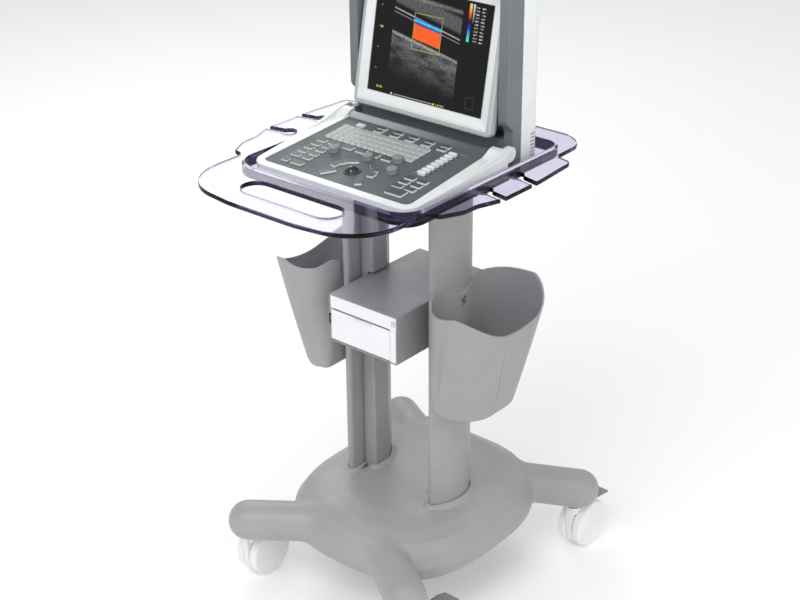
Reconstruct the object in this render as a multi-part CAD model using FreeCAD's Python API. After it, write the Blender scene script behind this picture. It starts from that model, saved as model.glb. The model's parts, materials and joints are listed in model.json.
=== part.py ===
import FreeCAD, Part
import math
import os
from FreeCAD import Vector

# Compact colour-Doppler ultrasound machine standing on its trolley.
# Millimetres, +Z up, +X the operator's right, -Y the side the operator stands on.
# Origin: on the floor, midway between the two columns.

# ---------------------------------------------------------------- driving sizes
ROW_SHIFT_Y = 7.25        # sizes are drawn from the columns; parts are saved about the footprint
TRAY_TOP = 844.0          # top face of the clear tray
TRAY_THICK = 8.0
WELL_DEPTH = 20.0         # the console stands in a shallow well in the tray
WELL_FLOOR = 6.0
WELL_HALF_X = 186.5
WELL_FRONT = -222.0
WELL_REAR = 186.0

COLUMN_FOOT = 196.0       # top of the base cover where the columns enter it
COLUMN_BOTTOM = 156.0
COLUMN_TOP = TRAY_TOP - WELL_DEPTH - WELL_FLOOR - 8.0
COLUMN_WALL = 3.0
LOBE_INNER_X = 66.0       # inner face of the rear lobe of a column
GROOVE_Y = -20.0          # cable groove between the two lobes

PRINTER_HALF_X = 77.3
PRINTER_FRONT = -120.0
PRINTER_REAR = 125.0
PRINTER_BOTTOM = 504.0
PRINTER_TOP = 594.5

BASE_RIM_Z = 98.0
BASE_HALF_X = 196.0
BASE_HALF_Y = 224.0
BASE_CENTRE_Y = 18.0
BASE_WALL = 4.0
LEG_RADIUS = 39.0
LEG_Z = 136.0
LEGS = (
    ("front_left", -190.0, -234.0, 33.0),
    ("front_right", 190.0, -234.0, 33.0),
    ("rear_right", 221.0, 241.0, 30.0),
    ("rear_left", -221.0, 241.0, 30.0),
)

WHEEL_RADIUS = 47.0
WHEEL_WIDTH = 18.0
WHEEL_GAP = 14.0          # hood thickness between the twin wheels
TRAIL = 30.0
STEMS = {
    "front_left": (-203.0, -218.0),
    "front_right": (203.0, -218.0),
    "rear_right": (210.0, 243.0),
    "rear_left": (-210.0, 243.0),
}
AXLE_RADIUS = 4.0
HUB_DEPTH = 14.0          # how far the axle enters each wheel
HOOD_TOP = 95.5
PEDAL_PIVOT = 24.0        # pedal pin, behind the axle
PEDAL_Z = 92.0
STEM_RADIUS = 5.5
SOCKET_RADIUS = 14.0      # of the steel sockets that hold the caster stems
RUNNING_GAP = 0.05        # radial clearance of every running fit

CONSOLE_PITCH = 5.3       # keyboard deck slopes up to the rear by this angle
LCD_TILT = 10.8           # display leans back by this angle
DECK_ORIGIN = (0.0, 21.0, 860.0)
FOLD_AXIS = (50.0, 862.0)         # y and z of the keyboard hinge
LCD_ORIGIN = (0.0, 33.0, 887.0)   # middle of the display's front bottom edge
LCD_AXIS = (85.0, 1106.0)         # y and z of the display hinge
LCD_HALF_X = 149.0
LCD_HEIGHT = 240.0
LCD_THICK = 20.0
SCREEN_HALF_X = 122.9             # 12.1 inch 4:3 active area
SCREEN_HEIGHT = 184.3
SCREEN_BOTTOM = 27.8

TOWER_HALF_X = 172.0
TOWER_BOTTOM = 824.0
TOWER_TOP = 1148.0
TOWER_FRONT = 53.0
TOWER_STEP = 70.0         # front of the tower's foot, behind the keyboard hinge
TOWER_SPLIT = 91.0        # joint face between the frame and the rear casing
TOWER_REAR = 134.0
TUB_HALF_X = 152.0        # recess in the frame that takes the display
TUB_BOTTOM = 876.0
TUB_TOP = 1130.0

KEY_TRAVEL = 1.5
KEY_GAP = 0.5
KEY_DEPTH = 5.5           # key body below the deck surface
KEY_RISE = 3.5
BOARD_TOP = -7.4


# ---------------------------------------------------------------- small helpers
def save(shape, name):
    placed = shape.copy()
    placed.translate(Vector(0.0, ROW_SHIFT_Y, 0.0))
    placed.exportStep("parts/" + name + ".step")


def box(x0, x1, y0, y1, z0, z1):
    return Part.makeBox(x1 - x0, y1 - y0, z1 - z0, Vector(x0, y0, z0))


def cyl(centre, axis, radius, height):
    return Part.makeCylinder(radius, height, Vector(*centre), Vector(*axis))


def fuse(shapes):
    first = shapes[0]
    if len(shapes) == 1:
        return first
    return first.multiFuse(shapes[1:]).removeSplitter()


def group(shapes):
    return Part.makeCompound(shapes)


def mirrored(shape):
    return shape.mirror(Vector(0, 0, 0), Vector(1, 0, 0))


def rounded_outline(points, z):
    """Closed wire through (x, y, corner radius) points, each corner a true arc."""
    edges = []
    count = len(points)
    ends = []
    for i in range(count):
        x, y, r = points[i]
        px, py, _ = points[i - 1]
        nx, ny, _ = points[(i + 1) % count]
        here = Vector(x, y, z)
        to_prev = (Vector(px, py, z) - here).normalize()
        to_next = (Vector(nx, ny, z) - here).normalize()
        if r <= 0:
            ends.append((here, None, here))
            continue
        half = to_prev.getAngle(to_next) / 2.0
        reach = r / math.tan(half)
        bisector = (to_prev + to_next).normalize()
        middle = here + bisector * (r / math.sin(half) - r)
        ends.append((here + to_prev * reach, middle, here + to_next * reach))
    for i in range(count):
        start, middle, stop = ends[i]
        if middle is not None:
            edges.append(Part.Arc(start, middle, stop).toShape())
        following = ends[(i + 1) % count][0]
        if (following - stop).Length > 1e-6:
            edges.append(Part.makeLine(stop, following))
    return Part.Wire(edges)


def grown(points, grow):
    """The same outline moved outwards by grow (inwards when negative)."""
    count = len(points)
    area = sum(points[i - 1][0] * points[i][1] - points[i][0] * points[i - 1][1] for i in range(count))
    turn = math.copysign(1.0, area)
    result = []
    for i in range(count):
        x, y, r = points[i]
        before = (x - points[i - 1][0], y - points[i - 1][1])
        after = (points[(i + 1) % count][0] - x, points[(i + 1) % count][1] - y)
        normals = []
        for dx, dy in (before, after):
            length = math.hypot(dx, dy)
            normals.append((turn * dy / length, -turn * dx / length))
        (ax, ay), (bx, by) = normals
        cross = ax * by - ay * bx
        step_x = (by - ay) / cross
        step_y = (ax - bx) / cross
        convex = turn * cross > 0
        radius = max(r + grow, 0.0) if convex else max(r - grow, 0.0)
        result.append((x + grow * step_x, y + grow * step_y, radius))
    return result


def slab(points, z0, z1):
    """Vertical prism over a rounded outline."""
    face = Part.Face(rounded_outline(points, z0))
    return face.extrude(Vector(0, 0, z1 - z0))


def rectangle(x0, x1, y0, y1, r):
    return [(x0, y0, r), (x1, y0, r), (x1, y1, r), (x0, y1, r)]


def prism_x(points, x0, x1):
    """Prism along X over a rounded outline given as (y, z, radius) points."""
    shape = slab(points, x0, x1)
    turn = FreeCAD.Rotation(Vector(1, 1, 1), 120.0)
    shape.Placement = FreeCAD.Placement(Vector(0, 0, 0), turn)
    return shape


def edges_at(shape, test):
    return [e for e in shape.Edges if test(e)]


def horizontal_at(shape, z):
    def test(edge):
        b = edge.BoundBox
        return abs(b.ZMin - z) < 1e-3 and abs(b.ZMax - z) < 1e-3
    return edges_at(shape, test)


def ellipse_wire(a, b, centre_y, z, power=2.35, count=40):
    """Closed smooth superellipse, the plan shape of the base."""
    points = []
    for k in range(count):
        t = 2.0 * math.pi * k / count
        ct = math.cos(t)
        st = math.sin(t)
        x = a * math.copysign(abs(ct) ** (2.0 / power), ct)
        y = centre_y + b * math.copysign(abs(st) ** (2.0 / power), st)
        points.append(Vector(x, y, z))
    curve = Part.BSplineCurve()
    curve.interpolate(points, PeriodicFlag=True)
    return Part.Wire([curve.toShape()])


# ---------------------------------------------------------------- base and casters
def dome(inset):
    """Moulded dome of the base; inset shrinks it for the inside of the shell."""
    sections = (
        (0.0, 0.93), (0.13, 0.98), (0.36, 1.0), (0.62, 0.975),
        (0.81, 0.91), (0.93, 0.80), (1.0, 0.62),
    )
    height = COLUMN_FOOT - BASE_RIM_Z
    wires = []
    for level, scale in sections:
        a = BASE_HALF_X * scale - inset
        b = BASE_HALF_Y * scale - inset
        z = BASE_RIM_Z + (height - inset) * level
        if inset > 0 and level == 0.0:
            z = BASE_RIM_Z - 2.0
        wires.append(ellipse_wire(a, b, BASE_CENTRE_Y, z))
    return Part.makeLoft(wires, True, False)


def leg(x, y, angle, radius):
    """Sausage-shaped leg: a round bar with a ball end, rising a little inwards."""
    reach = 150.0
    rise = 6.0
    out_x = math.copysign(math.cos(math.radians(angle)), x)
    out_y = math.copysign(math.sin(math.radians(angle)), y)
    root = Vector(x - out_x * reach, y - out_y * reach, LEG_Z + rise)
    tip = Vector(x, y, LEG_Z)
    bar = Part.makeCylinder(radius, (tip - root).Length, root, tip - root)
    ball = Part.makeSphere(radius, tip)
    return [bar, ball]


def column_outline():
    """Right-hand column in plan: bulging outside, two lobes and a groove inside."""
    return [
        (90.0, -67.7, 7.0), (146.8, 0.0, 81.2), (93.5, 64.0, 10.0), (LOBE_INNER_X, 22.0, 8.0),
        (LOBE_INNER_X, GROOVE_Y + 4.0, 5.0), (93.0, GROOVE_Y + 3.0, 0.0),
        (93.0, GROOVE_Y - 3.0, 0.0), (90.0, GROOVE_Y - 3.0, 0.0),
    ]


def column_envelope():
    """The same outline without the cable groove, for openings and collars."""
    return column_outline()[:5] + [(90.0, GROOVE_Y + 3.5, 4.0)]


def column_right():
    outer = slab(column_outline(), COLUMN_BOTTOM, COLUMN_TOP)
    inner = slab(grown(column_outline(), -COLUMN_WALL), COLUMN_BOTTOM - 1.0, COLUMN_TOP + 1.0)
    shape = outer.cut(inner)
    # the rear lobe is cut away where the printer sits between the columns
    seat = box(0.0, PRINTER_HALF_X + 0.7, -90.0, 90.0, PRINTER_BOTTOM - 4.0, PRINTER_TOP + 4.0)
    screw_hole = cyl((100.0, 0.0, BIN_SCREW_Z), (1, 0, 0), BIN_SCREW_RADIUS, 60.0)
    return shape.cut(seat).cut(screw_hole)


def base_cover():
    outer = [dome(0.0)]
    for _, x, y, angle in LEGS:
        outer += leg(x, y, angle, LEG_RADIUS)
    collar = slab(grown(column_envelope(), 10.0), COLUMN_FOOT - 30.0, COLUMN_FOOT + 5.0)
    collar = collar.makeFillet(3.0, horizontal_at(collar, COLUMN_FOOT + 5.0))
    outer += [collar, mirrored(collar)]
    shell = fuse(outer)
    shell = shell.cut(dome(BASE_WALL))
    for _, x, y, angle in LEGS:
        for piece in leg(x, y, angle, LEG_RADIUS - BASE_WALL):
            shell = shell.cut(piece)
    opening = slab(grown(column_envelope(), 0.5), COLUMN_FOOT - 40.0, COLUMN_FOOT + 20.0)
    shell = shell.cut(opening).cut(mirrored(opening))
    for x, y in STEMS.values():
        shell = shell.cut(cyl((x, y, 80.0), (0, 0, 1), 18.0, 40.0))
        shell = shell.cut(cyl((x, y, 80.0), (0, 0, 1), SOCKET_RADIUS + 0.3, COLUMN_BOTTOM - 79.7))
    return shell


def base_frame():
    """Welded steel frame under the cover: plate, four arms and caster sockets."""
    plate_z = COLUMN_BOTTOM - 8.0
    parts = [
        slab(rectangle(-95.0, 95.0, -160.0, 190.0, 30.0), plate_z, COLUMN_BOTTOM),
        slab(rectangle(-128.0, 128.0, -66.0, 66.0, 15.0), plate_z, COLUMN_BOTTOM),
    ]
    for name, tip_x, tip_y, angle in LEGS:
        x, y = STEMS[name]
        reach = 165.0
        start = Vector(
            tip_x - math.copysign(reach * math.cos(math.radians(angle)), tip_x),
            tip_y - math.copysign(reach * math.sin(math.radians(angle)), tip_y), 0.0)
        way = Vector(x, y, 0.0) - start
        bar = box(0.0, way.Length - 11.0, -13.0, 13.0, 124.0, plate_z)
        bar = bar.cut(box(-1.0, way.Length + 1.0, -10.5, 10.5, 126.5, plate_z - 2.5))
        bar.rotate(Vector(0, 0, 0), Vector(0, 0, 1), math.degrees(math.atan2(way.y, way.x)))
        bar.translate(start)
        parts.append(bar)
        parts.append(cyl((x, y, 112.0), (0, 0, 1), SOCKET_RADIUS, plate_z - 112.0))
    frame = fuse(parts)
    for x, y in STEMS.values():
        frame = frame.cut(cyl((x, y, 100.0), (0, 0, 1), STEM_RADIUS, 60.0))
    return frame


def caster_stem(x, y):
    """Stem pressed in its socket; the hood turns on its lower end."""
    pin = cyl((x, y, 68.0), (0, 0, 1), STEM_RADIUS, 76.0)
    collar = cyl((x, y, 100.0), (0, 0, 1), 9.0, 8.0)
    return fuse([pin, collar])


def caster_hood(x, y):
    """Central body of a twin-wheel caster, between its two wheels."""
    half = WHEEL_GAP / 2.0 - 1.0
    axle_y = y + TRAIL
    disc = cyl((x - half, axle_y, WHEEL_RADIUS), (1, 0, 0), WHEEL_RADIUS - 5.0, 2.0 * half)
    nose = box(x - half, x + half, y - 16.0, axle_y + 18.0, 52.0, HOOD_TOP)
    lug = box(x - half, x + half, axle_y + 10.0, axle_y + 29.0, 78.0, HOOD_TOP)
    hub = Part.makeCone(9.0, 16.0, HOOD_TOP - 72.0, Vector(x, y, 72.0), Vector(0, 0, 1))
    hood = fuse([disc, nose, lug, hub])
    for side in (-1.0, 1.0):
        inner = x + side * (half + 0.4)
        room = cyl((inner, axle_y, WHEEL_RADIUS), (side, 0, 0), WHEEL_RADIUS + 0.6, 30.0)
        hood = hood.cut(room)
    stem_hole = cyl((x, y, 66.0), (0, 0, 1), STEM_RADIUS + RUNNING_GAP, 40.0)
    axle_hole = cyl((x - 20.0, axle_y, WHEEL_RADIUS), (1, 0, 0), AXLE_RADIUS + RUNNING_GAP, 40.0)
    pin_hole = cyl((x - 20.0, axle_y + PEDAL_PIVOT, PEDAL_Z), (1, 0, 0), 2.0 + RUNNING_GAP, 40.0)
    return hood.cut(stem_hole).cut(axle_hole).cut(pin_hole)


def caster_wheels(x, y):
    """Two wheels pressed on one axle."""
    axle_y = y + TRAIL
    half_gap = WHEEL_GAP / 2.0
    solids = []
    for side in (-1.0, 1.0):
        inner = x + side * half_gap
        wheel = cyl((inner, axle_y, WHEEL_RADIUS), (side, 0, 0), WHEEL_RADIUS, WHEEL_WIDTH)
        rims = [e for e in wheel.Edges if e.Curve.TypeId == "Part::GeomCircle"]
        wheel = wheel.makeFillet(5.0, rims)
        bore = cyl((x, axle_y, WHEEL_RADIUS), (side, 0, 0), AXLE_RADIUS, half_gap + HUB_DEPTH)
        solids.append(wheel.cut(bore))
    length = WHEEL_GAP + 2.0 * HUB_DEPTH
    solids.append(cyl((x - length / 2.0, axle_y, WHEEL_RADIUS), (1, 0, 0), AXLE_RADIUS, length))
    return group(solids)


def brake_pedal(x, y):
    """Foot lever on the trailing side: a pad, two cheeks and a cross pin in the hood."""
    axle_y = y + TRAIL
    pivot_y = axle_y + PEDAL_PIVOT
    side_view = [
        (pivot_y + 2.5, PEDAL_Z - 2.6, 0), (axle_y + 40.0, 87.5, 0), (axle_y + 62.0, 84.0, 0),
        (axle_y + 64.5, 87.0, 0), (axle_y + 42.0, 94.4, 2.0), (pivot_y + 2.5, PEDAL_Z + 2.8, 0),
    ]
    pad = prism_x(side_view, x - 16.0, x + 16.0)
    pad = pad.cut(box(x - 6.5, x + 6.5, axle_y, axle_y + 31.0, 70.0, 100.0))
    pieces = [pad]
    for side in (-1.0, 1.0):
        x0 = min(x + side * 6.5, x + side * 16.0)
        knuckle = cyl((x0, pivot_y, PEDAL_Z), (1, 0, 0), 2.8, 9.5)
        web = box(x0, x0 + 9.5, pivot_y, pivot_y + 3.0, PEDAL_Z - 2.6, PEDAL_Z + 2.8)
        pieces += [knuckle, web]
    pieces.append(cyl((x - 14.0, pivot_y, PEDAL_Z), (1, 0, 0), 2.0, 28.0))
    return fuse(pieces)


# ---------------------------------------------------------------- columns' head and tray
BRACKET_SCREWS = ((150.0, -60.0), (150.0, 60.0), (80.0, -50.0), (80.0, 55.0))
PROBE_HOLES = ((-61.5, -71.0), (21.7, 10.0))      # y of each hole, y of its slot at the tray edge
PROBE_HOLE_X = 214.0
PROBE_HOLE_RADIUS = 13.0


def tray_outline():
    right = [
        (70.0, -352.0, 200.0), (200.0, -334.0, 96.0), (202.0, -190.0, 8.0), (223.0, -186.0, 10.0),
        (241.0, -148.0, 25.0), (243.0, -115.0, 20.0), (258.0, -70.0, 60.0), (258.0, 30.0, 120.0),
        (250.0, 126.0, 14.0), (216.0, 134.0, 10.0), (214.0, 205.0, 45.0), (175.0, 231.0, 40.0),
    ]
    left = [(-x, y, r) for x, y, r in reversed(right)]
    return right + left


def well_outline(grow):
    points = [
        (-WELL_HALF_X, WELL_FRONT, 40.0), (WELL_HALF_X, WELL_FRONT, 40.0),
        (WELL_HALF_X, WELL_REAR, 25.0), (-WELL_HALF_X, WELL_REAR, 25.0),
    ]
    return grown(points, grow)


def probe_notch(y_hole, y_edge):
    """Round probe hole with a slanted slot out to the tray's edge."""
    hole = cyl((PROBE_HOLE_X, y_hole, TRAY_TOP - 20.0), (0, 0, 1), PROBE_HOLE_RADIUS, 40.0)
    slot = box(0.0, 60.0, -6.0, 6.0, TRAY_TOP - 20.0, TRAY_TOP + 20.0)
    slot.rotate(Vector(0, 0, 0), Vector(0, 0, 1), math.degrees(math.atan2(y_edge - y_hole, 48.0)))
    slot.translate(Vector(PROBE_HOLE_X, y_hole, 0.0))
    return hole.fuse(slot)


def screw_solid(x, y, clearance):
    """Countersunk screw from the well floor into the bracket; clearance grows it for holes."""
    head_z = TRAY_TOP - WELL_DEPTH
    radius = 2.5 + clearance
    shank = cyl((x, y, head_z - 13.5 - clearance), (0, 0, 1), radius, 13.5 + clearance)
    head = Part.makeCone(radius, 5.0 + clearance, 2.5, Vector(x, y, head_z - 2.5), Vector(0, 0, 1))
    return shank.fuse(head).removeSplitter()


def screw_places():
    return [(side * x, y) for side in (1.0, -1.0) for x, y in BRACKET_SCREWS]


def tray():
    sheet = slab(tray_outline(), TRAY_TOP - TRAY_THICK, TRAY_TOP)
    handle = slab(rectangle(-102.0, 102.0, -306.0, -257.0, 24.4), TRAY_TOP - 20.0, TRAY_TOP + 20.0)
    sheet = sheet.cut(handle)
    for y_hole, y_edge in PROBE_HOLES:
        notch = probe_notch(y_hole, y_edge)
        sheet = sheet.cut(notch).cut(mirrored(notch))
    rims = horizontal_at(sheet, TRAY_TOP) + horizontal_at(sheet, TRAY_TOP - TRAY_THICK)
    sheet = sheet.makeFillet(2.2, rims)
    floor_z = TRAY_TOP - WELL_DEPTH
    pan = slab(well_outline(5.0), floor_z - WELL_FLOOR, TRAY_TOP - 3.0)
    pan = pan.makeFillet(5.0, horizontal_at(pan, floor_z - WELL_FLOOR))
    hollow = slab(well_outline(0.0), floor_z, TRAY_TOP + 5.0)
    hollow = hollow.makeFillet(3.0, horizontal_at(hollow, floor_z))
    shape = sheet.fuse(pan).cut(hollow).removeSplitter()
    for x, y in screw_places():
        shape = shape.cut(screw_solid(x, y, 0.1))
    return shape


def tray_brackets():
    """Plate welded on the head of each column, under the well floor."""
    top = TRAY_TOP - WELL_DEPTH - WELL_FLOOR
    plate = slab(grown(column_envelope(), 6.0), COLUMN_TOP, top)
    plates = []
    for side_plate in (plate, mirrored(plate)):
        for x, y in screw_places():
            side_plate = side_plate.cut(screw_solid(x, y, 0.0))
        plates.append(side_plate)
    return group(plates)


def tray_screws():
    return group([screw_solid(x, y, 0.0) for x, y in screw_places()])


# ---------------------------------------------------------------- side bins
BIN_BOTTOM = 412.0
BIN_TOP = 628.0
BIN_WALL = 3.0
BIN_SCREW_RADIUS = 2.5
BIN_SCREW_Z = 603.0


def bin_outline(level, inset):
    """Plan of the right-hand bin; level 0 is its foot and 1 its mouth."""
    inner_x = 118.0 + (111.0 - 118.0) * level
    outer_x = 200.0 + (254.0 - 200.0) * level
    half_y = 86.0 + (114.0 - 86.0) * level
    r_inner = 14.0 + (62.0 - 14.0) * level
    r_outer = 66.0 + (74.0 - 66.0) * level
    points = [
        (inner_x, -half_y, r_inner), (outer_x, -half_y, r_outer),
        (outer_x, half_y, r_outer), (inner_x, half_y, r_inner),
    ]
    return grown(points, -inset)


def bin_body(inset, z0):
    height = 632.0 - BIN_BOTTOM
    wires = []
    for z in (z0, 632.0):
        wires.append(rounded_outline(bin_outline((z - BIN_BOTTOM) / height, inset), z))
    return Part.makeLoft(wires, True, True)


def bin_right():
    """Bin wrapped round the column, its rim cut to a saddle that dips outwards."""
    outer = bin_body(0.0, BIN_BOTTOM)
    outer = outer.makeFillet(11.0, horizontal_at(outer, BIN_BOTTOM))
    column = slab(grown(column_envelope(), 0.3), BIN_BOTTOM - 10.0, BIN_TOP + 30.0)
    inner = bin_body(BIN_WALL, BIN_BOTTOM + BIN_WALL)
    inner = inner.makeFillet(8.0, horizontal_at(inner, BIN_BOTTOM + BIN_WALL))
    inner = inner.cut(slab(grown(column_envelope(), 0.3 + BIN_WALL), BIN_BOTTOM - 10.0, BIN_TOP + 30.0))
    shape = outer.cut(column).cut(inner)
    saddle_radius = 200.0
    lowest = 584.0
    slope = math.radians(17.0)
    start = Vector(250.0 + 150.0 * math.cos(slope), 0.0, lowest + saddle_radius - 150.0 * math.sin(slope))
    saddle = cyl((start.x, 0.0, start.z), (-math.cos(slope), 0.0, math.sin(slope)), saddle_radius, 420.0)
    shape = shape.cut(saddle).cut(box(0.0, 400.0, -200.0, 200.0, BIN_TOP, BIN_TOP + 20.0))
    keyhole = cyl((110.0, 0.0, BIN_SCREW_Z - 11.0), (1, 0, 0), 5.6, 30.0)
    slot = box(110.0, 140.0, -2.8, 2.8, BIN_SCREW_Z - 11.0, BIN_SCREW_Z)
    slot_end = cyl((110.0, 0.0, BIN_SCREW_Z), (1, 0, 0), 2.8, 30.0)
    return shape.cut(fuse([keyhole, slot, slot_end]))


def bin_screw():
    """Shoulder screw in the column wall that the bin's keyhole drops over."""
    shank = cyl((114.0, 0.0, BIN_SCREW_Z), (1, 0, 0), BIN_SCREW_RADIUS, 12.0)
    head = cyl((125.6, 0.0, BIN_SCREW_Z), (1, 0, 0), 5.0, 2.5)
    socket = cyl((127.1, 0.0, BIN_SCREW_Z), (1, 0, 0), 1.8, 2.0)
    return shank.fuse(head).cut(socket)


# ---------------------------------------------------------------- printer between the columns
CRADLE_PLATE = 1.5
DOOR_AXIS = (-117.5, 508.5)
DOOR_LEFT = -73.0
DOOR_RIGHT = 60.5
DOOR_TOP = 564.5
PLATEN_AXIS = (-100.0, 541.0)
ROLL_AXIS = (-55.0, 535.0)


def printer_cradle():
    """Folded sheet under the printer, its two ears welded to the columns."""
    half = LOBE_INNER_X - 0.02
    plate = box(-half, half, -15.9, 21.9, PRINTER_BOTTOM - CRADLE_PLATE, PRINTER_BOTTOM)
    wide = box(-half, half, -45.0, 45.0, PRINTER_BOTTOM - CRADLE_PLATE, PRINTER_BOTTOM)
    pieces = [plate, wide]
    for side in (-1.0, 1.0):
        x0 = min(side * half, side * (half - CRADLE_PLATE))
        pieces.append(box(x0, x0 + CRADLE_PLATE, -10.0, 20.0, PRINTER_BOTTOM - 24.0, PRINTER_BOTTOM))
    return fuse(pieces)


def printer_case():
    x = PRINTER_HALF_X
    shell = box(-x, x, PRINTER_FRONT, PRINTER_REAR, PRINTER_BOTTOM, PRINTER_TOP)
    along = edges_at(shell, lambda e: e.BoundBox.YMax - e.BoundBox.YMin > 200.0)
    shell = shell.makeFillet(2.5, along)
    room = box(-x + 2.0, x - 2.0, PRINTER_FRONT - 1.0, PRINTER_REAR - 2.0,
               PRINTER_BOTTOM + 2.0, PRINTER_TOP - 2.0)
    shell = shell.cut(room)
    slots = [box(-50.0, 50.0, PRINTER_REAR - 5.0, PRINTER_REAR + 5.0, z, z + 3.0)
             for z in (540.0, 548.0, 556.0, 564.0)]
    return shell.cut(group(slots))


def printer_bezel():
    """Front moulding: upper strip, left post and the rounded bar on the right."""
    half = PRINTER_HALF_X - 2.1
    plate = box(-half, half, -119.0, -112.0, 506.1, 592.3)
    plate = plate.cut(box(DOOR_LEFT - 0.5, DOOR_RIGHT + 0.5, -130.0, -100.0, 500.0, 568.0))
    bar = slab(rectangle(62.2, half, -120.0, -112.0, 2.0), 506.1, 566.0)
    shape = fuse([plate, bar])
    shape = shape.cut(box(63.2, 72.8, -130.0, -100.0, 574.7, 584.3))
    pin = cyl((-80.0, DOOR_AXIS[0], DOOR_AXIS[1]), (1, 0, 0), 1.2 + RUNNING_GAP, 145.0)
    return shape.cut(pin)


def printer_door():
    """Paper door, hinged on two stub pins along its bottom edge."""
    profile = [
        (-119.0, 508.5, 0), (-119.0, DOOR_TOP, 0), (-116.0, DOOR_TOP, 0), (-116.0, 507.0, 0),
        (-117.5, 507.0, 0), (-119.0, 507.0, 1.45),
    ]
    plate = prism_x(profile, DOOR_LEFT, DOOR_RIGHT)
    pin = cyl((DOOR_LEFT - 1.6, DOOR_AXIS[0], DOOR_AXIS[1]), (1, 0, 0), 1.2, DOOR_RIGHT - DOOR_LEFT + 3.2)
    grip = box(-20.0, 20.0, -122.0, -118.0, DOOR_TOP - 2.5, DOOR_TOP)
    return fuse([plate, pin, grip])


def print_head():
    """Print mechanism: floor plate, two side plates and the thermal head bar."""
    pieces = [box(-67.0, 67.0, -108.0, -28.0, 506.0, 508.0)]
    for x0 in (-67.0, 64.0):
        pieces.append(box(x0, x0 + 3.0, -108.0, -28.0, 506.0, 566.0))
    pieces.append(box(-65.0, 65.0, -104.0, -96.0, 550.5, 560.0))
    frame = fuse(pieces)
    for y, z in (PLATEN_AXIS, ROLL_AXIS):
        frame = frame.cut(cyl((-90.0, y, z), (1, 0, 0), 3.0 + RUNNING_GAP, 180.0))
    return frame


def platen_roller():
    y, z = PLATEN_AXIS
    roller = cyl((-61.0, y, z), (1, 0, 0), 8.0, 122.0)
    return roller.fuse(cyl((-68.0, y, z), (1, 0, 0), 3.0, 136.0)).removeSplitter()


def paper_roll():
    """Roll of paper with its spindle through the side plates."""
    y, z = ROLL_AXIS
    paper = cyl((-55.0, y, z), (1, 0, 0), 26.0, 110.0)
    return paper.fuse(cyl((-68.0, y, z), (1, 0, 0), 3.0, 136.0)).removeSplitter()


def printer_button():
    cap = box(63.5, 72.5, -120.0, -113.0, 575.0, 584.0)
    return cap.makeFillet(0.6, edges_at(cap, lambda e: e.BoundBox.YMax < -119.9))


# ---------------------------------------------------------------- keyboard console
# Deck coordinates: x right, v up the sloping deck (0 near its rear), w out of the deck.
KEY_ROWS_V = (-34.0, -48.0, -62.0, -76.0)
KEY_PITCH = 13.75
KEY_SIZE = (11.6, 11.2)
ALPHA_LEFT = -131.0
ALPHA_RIGHT = 74.0
MENU_X = (-64.0, -27.5, 6.0, 41.0, 75.0)
MENU_V = (-7.0, -18.5)
MENU_SIZE = (18.0, 8.5)
FUNCTION_X = (-64.0, -36.0, -7.5, 21.0)
FUNCTION_V = -94.5
SIDE_KEY_SIZE = (19.0, 11.0)
LEFT_COLUMNS_X = (-122.5, -98.0)
LEFT_COLUMNS_V = (-96.0, -112.0, -128.0, -144.5, -161.0)
RIGHT_COLUMNS_X = (100.0, 126.0)
RIGHT_COLUMNS_V = (-130.0, -146.0, -162.0)
TGC_X = 105.0
TGC_V = tuple(-27.0 - 11.6 * k for k in range(8))
TGC_TRAVEL = 10.0
HINGE_V = 29.06           # the hinge axis in deck coordinates
HINGE_W = -0.69
ARM_RADIUS = 13.0
PANEL_REAR_V = 18.0
BALL_V = -159.0
BALL_W = -2.5
BALL_RADIUS = 12.0
KNOB_RADIUS = 9.2
KNOBS = {
    "knob_gain": (-77.0, -117.0), "knob_colour": (-8.0, -110.8),
    "knob_doppler": (41.0, -91.4), "knob_depth": (60.0, -129.0),
}
ARC_KEYS = ((35.0, 123.0), (37.0, 150.0), (40.0, 174.0), (37.0, 55.0), (38.0, 32.0), (39.0, 7.0))


def on_deck(shape):
    """Move a shape from deck coordinates into place."""
    shape.rotate(Vector(0, 0, 0), Vector(1, 0, 0), CONSOLE_PITCH)
    shape.translate(Vector(*DECK_ORIGIN))
    return shape


def console_outline(grow):
    points = [
        (-172.0, -222.0, 28.0), (172.0, -222.0, 28.0), (176.0, -150.0, 60.0), (183.0, 21.0, 3.0),
        (-183.0, 21.0, 3.0), (-176.0, -150.0, 60.0),
    ]
    return grown(points, grow)


def panel_outline(grow):
    rear = PANEL_REAR_V
    points = [(-158.5, -207.0, 12.0), (158.5, -207.0, 12.0), (150.0, rear, 2.0), (-150.0, rear, 2.0)]
    return grown(points, grow)


def hinge_arms():
    """Sides of the console that swell towards the rear and reach back to the hinge axis."""
    sweep = [
        (-112.0, 0.4, 0), (-36.0, 4.4, 90.0), (8.0, 12.0, 26.0), (HINGE_V, 12.3, 0),
        (HINGE_V, -13.6, 0), (-20.0, -13.6, 0), (-112.0, -3.0, 0),
    ]
    shoulder = [
        (-14.0, 0.4, 0), (-3.0, 4.6, 9.0), (11.0, 10.8, 9.0), (21.0, 10.8, 0), (21.0, -2.5, 0),
        (-14.0, -2.5, 0),
    ]
    limits = console_outline(0.0)
    limits[3] = (183.0, 60.0, 0.0)
    limits[4] = (-183.0, 60.0, 0.0)
    arms = []
    for side in (-1.0, 1.0):
        x0 = min(side * 173.5, side * 186.0)
        arms.append(prism_x(sweep, x0, x0 + 12.5))
        arms.append(cyl((x0, HINGE_V, HINGE_W), (1, 0, 0), ARM_RADIUS, 12.5))
        x1 = min(side * 152.0, side * 176.0)
        arms.append(prism_x(shoulder, x1, x1 + 24.0))
    return fuse(arms).common(slab(limits, -20.0, 20.0))


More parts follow.
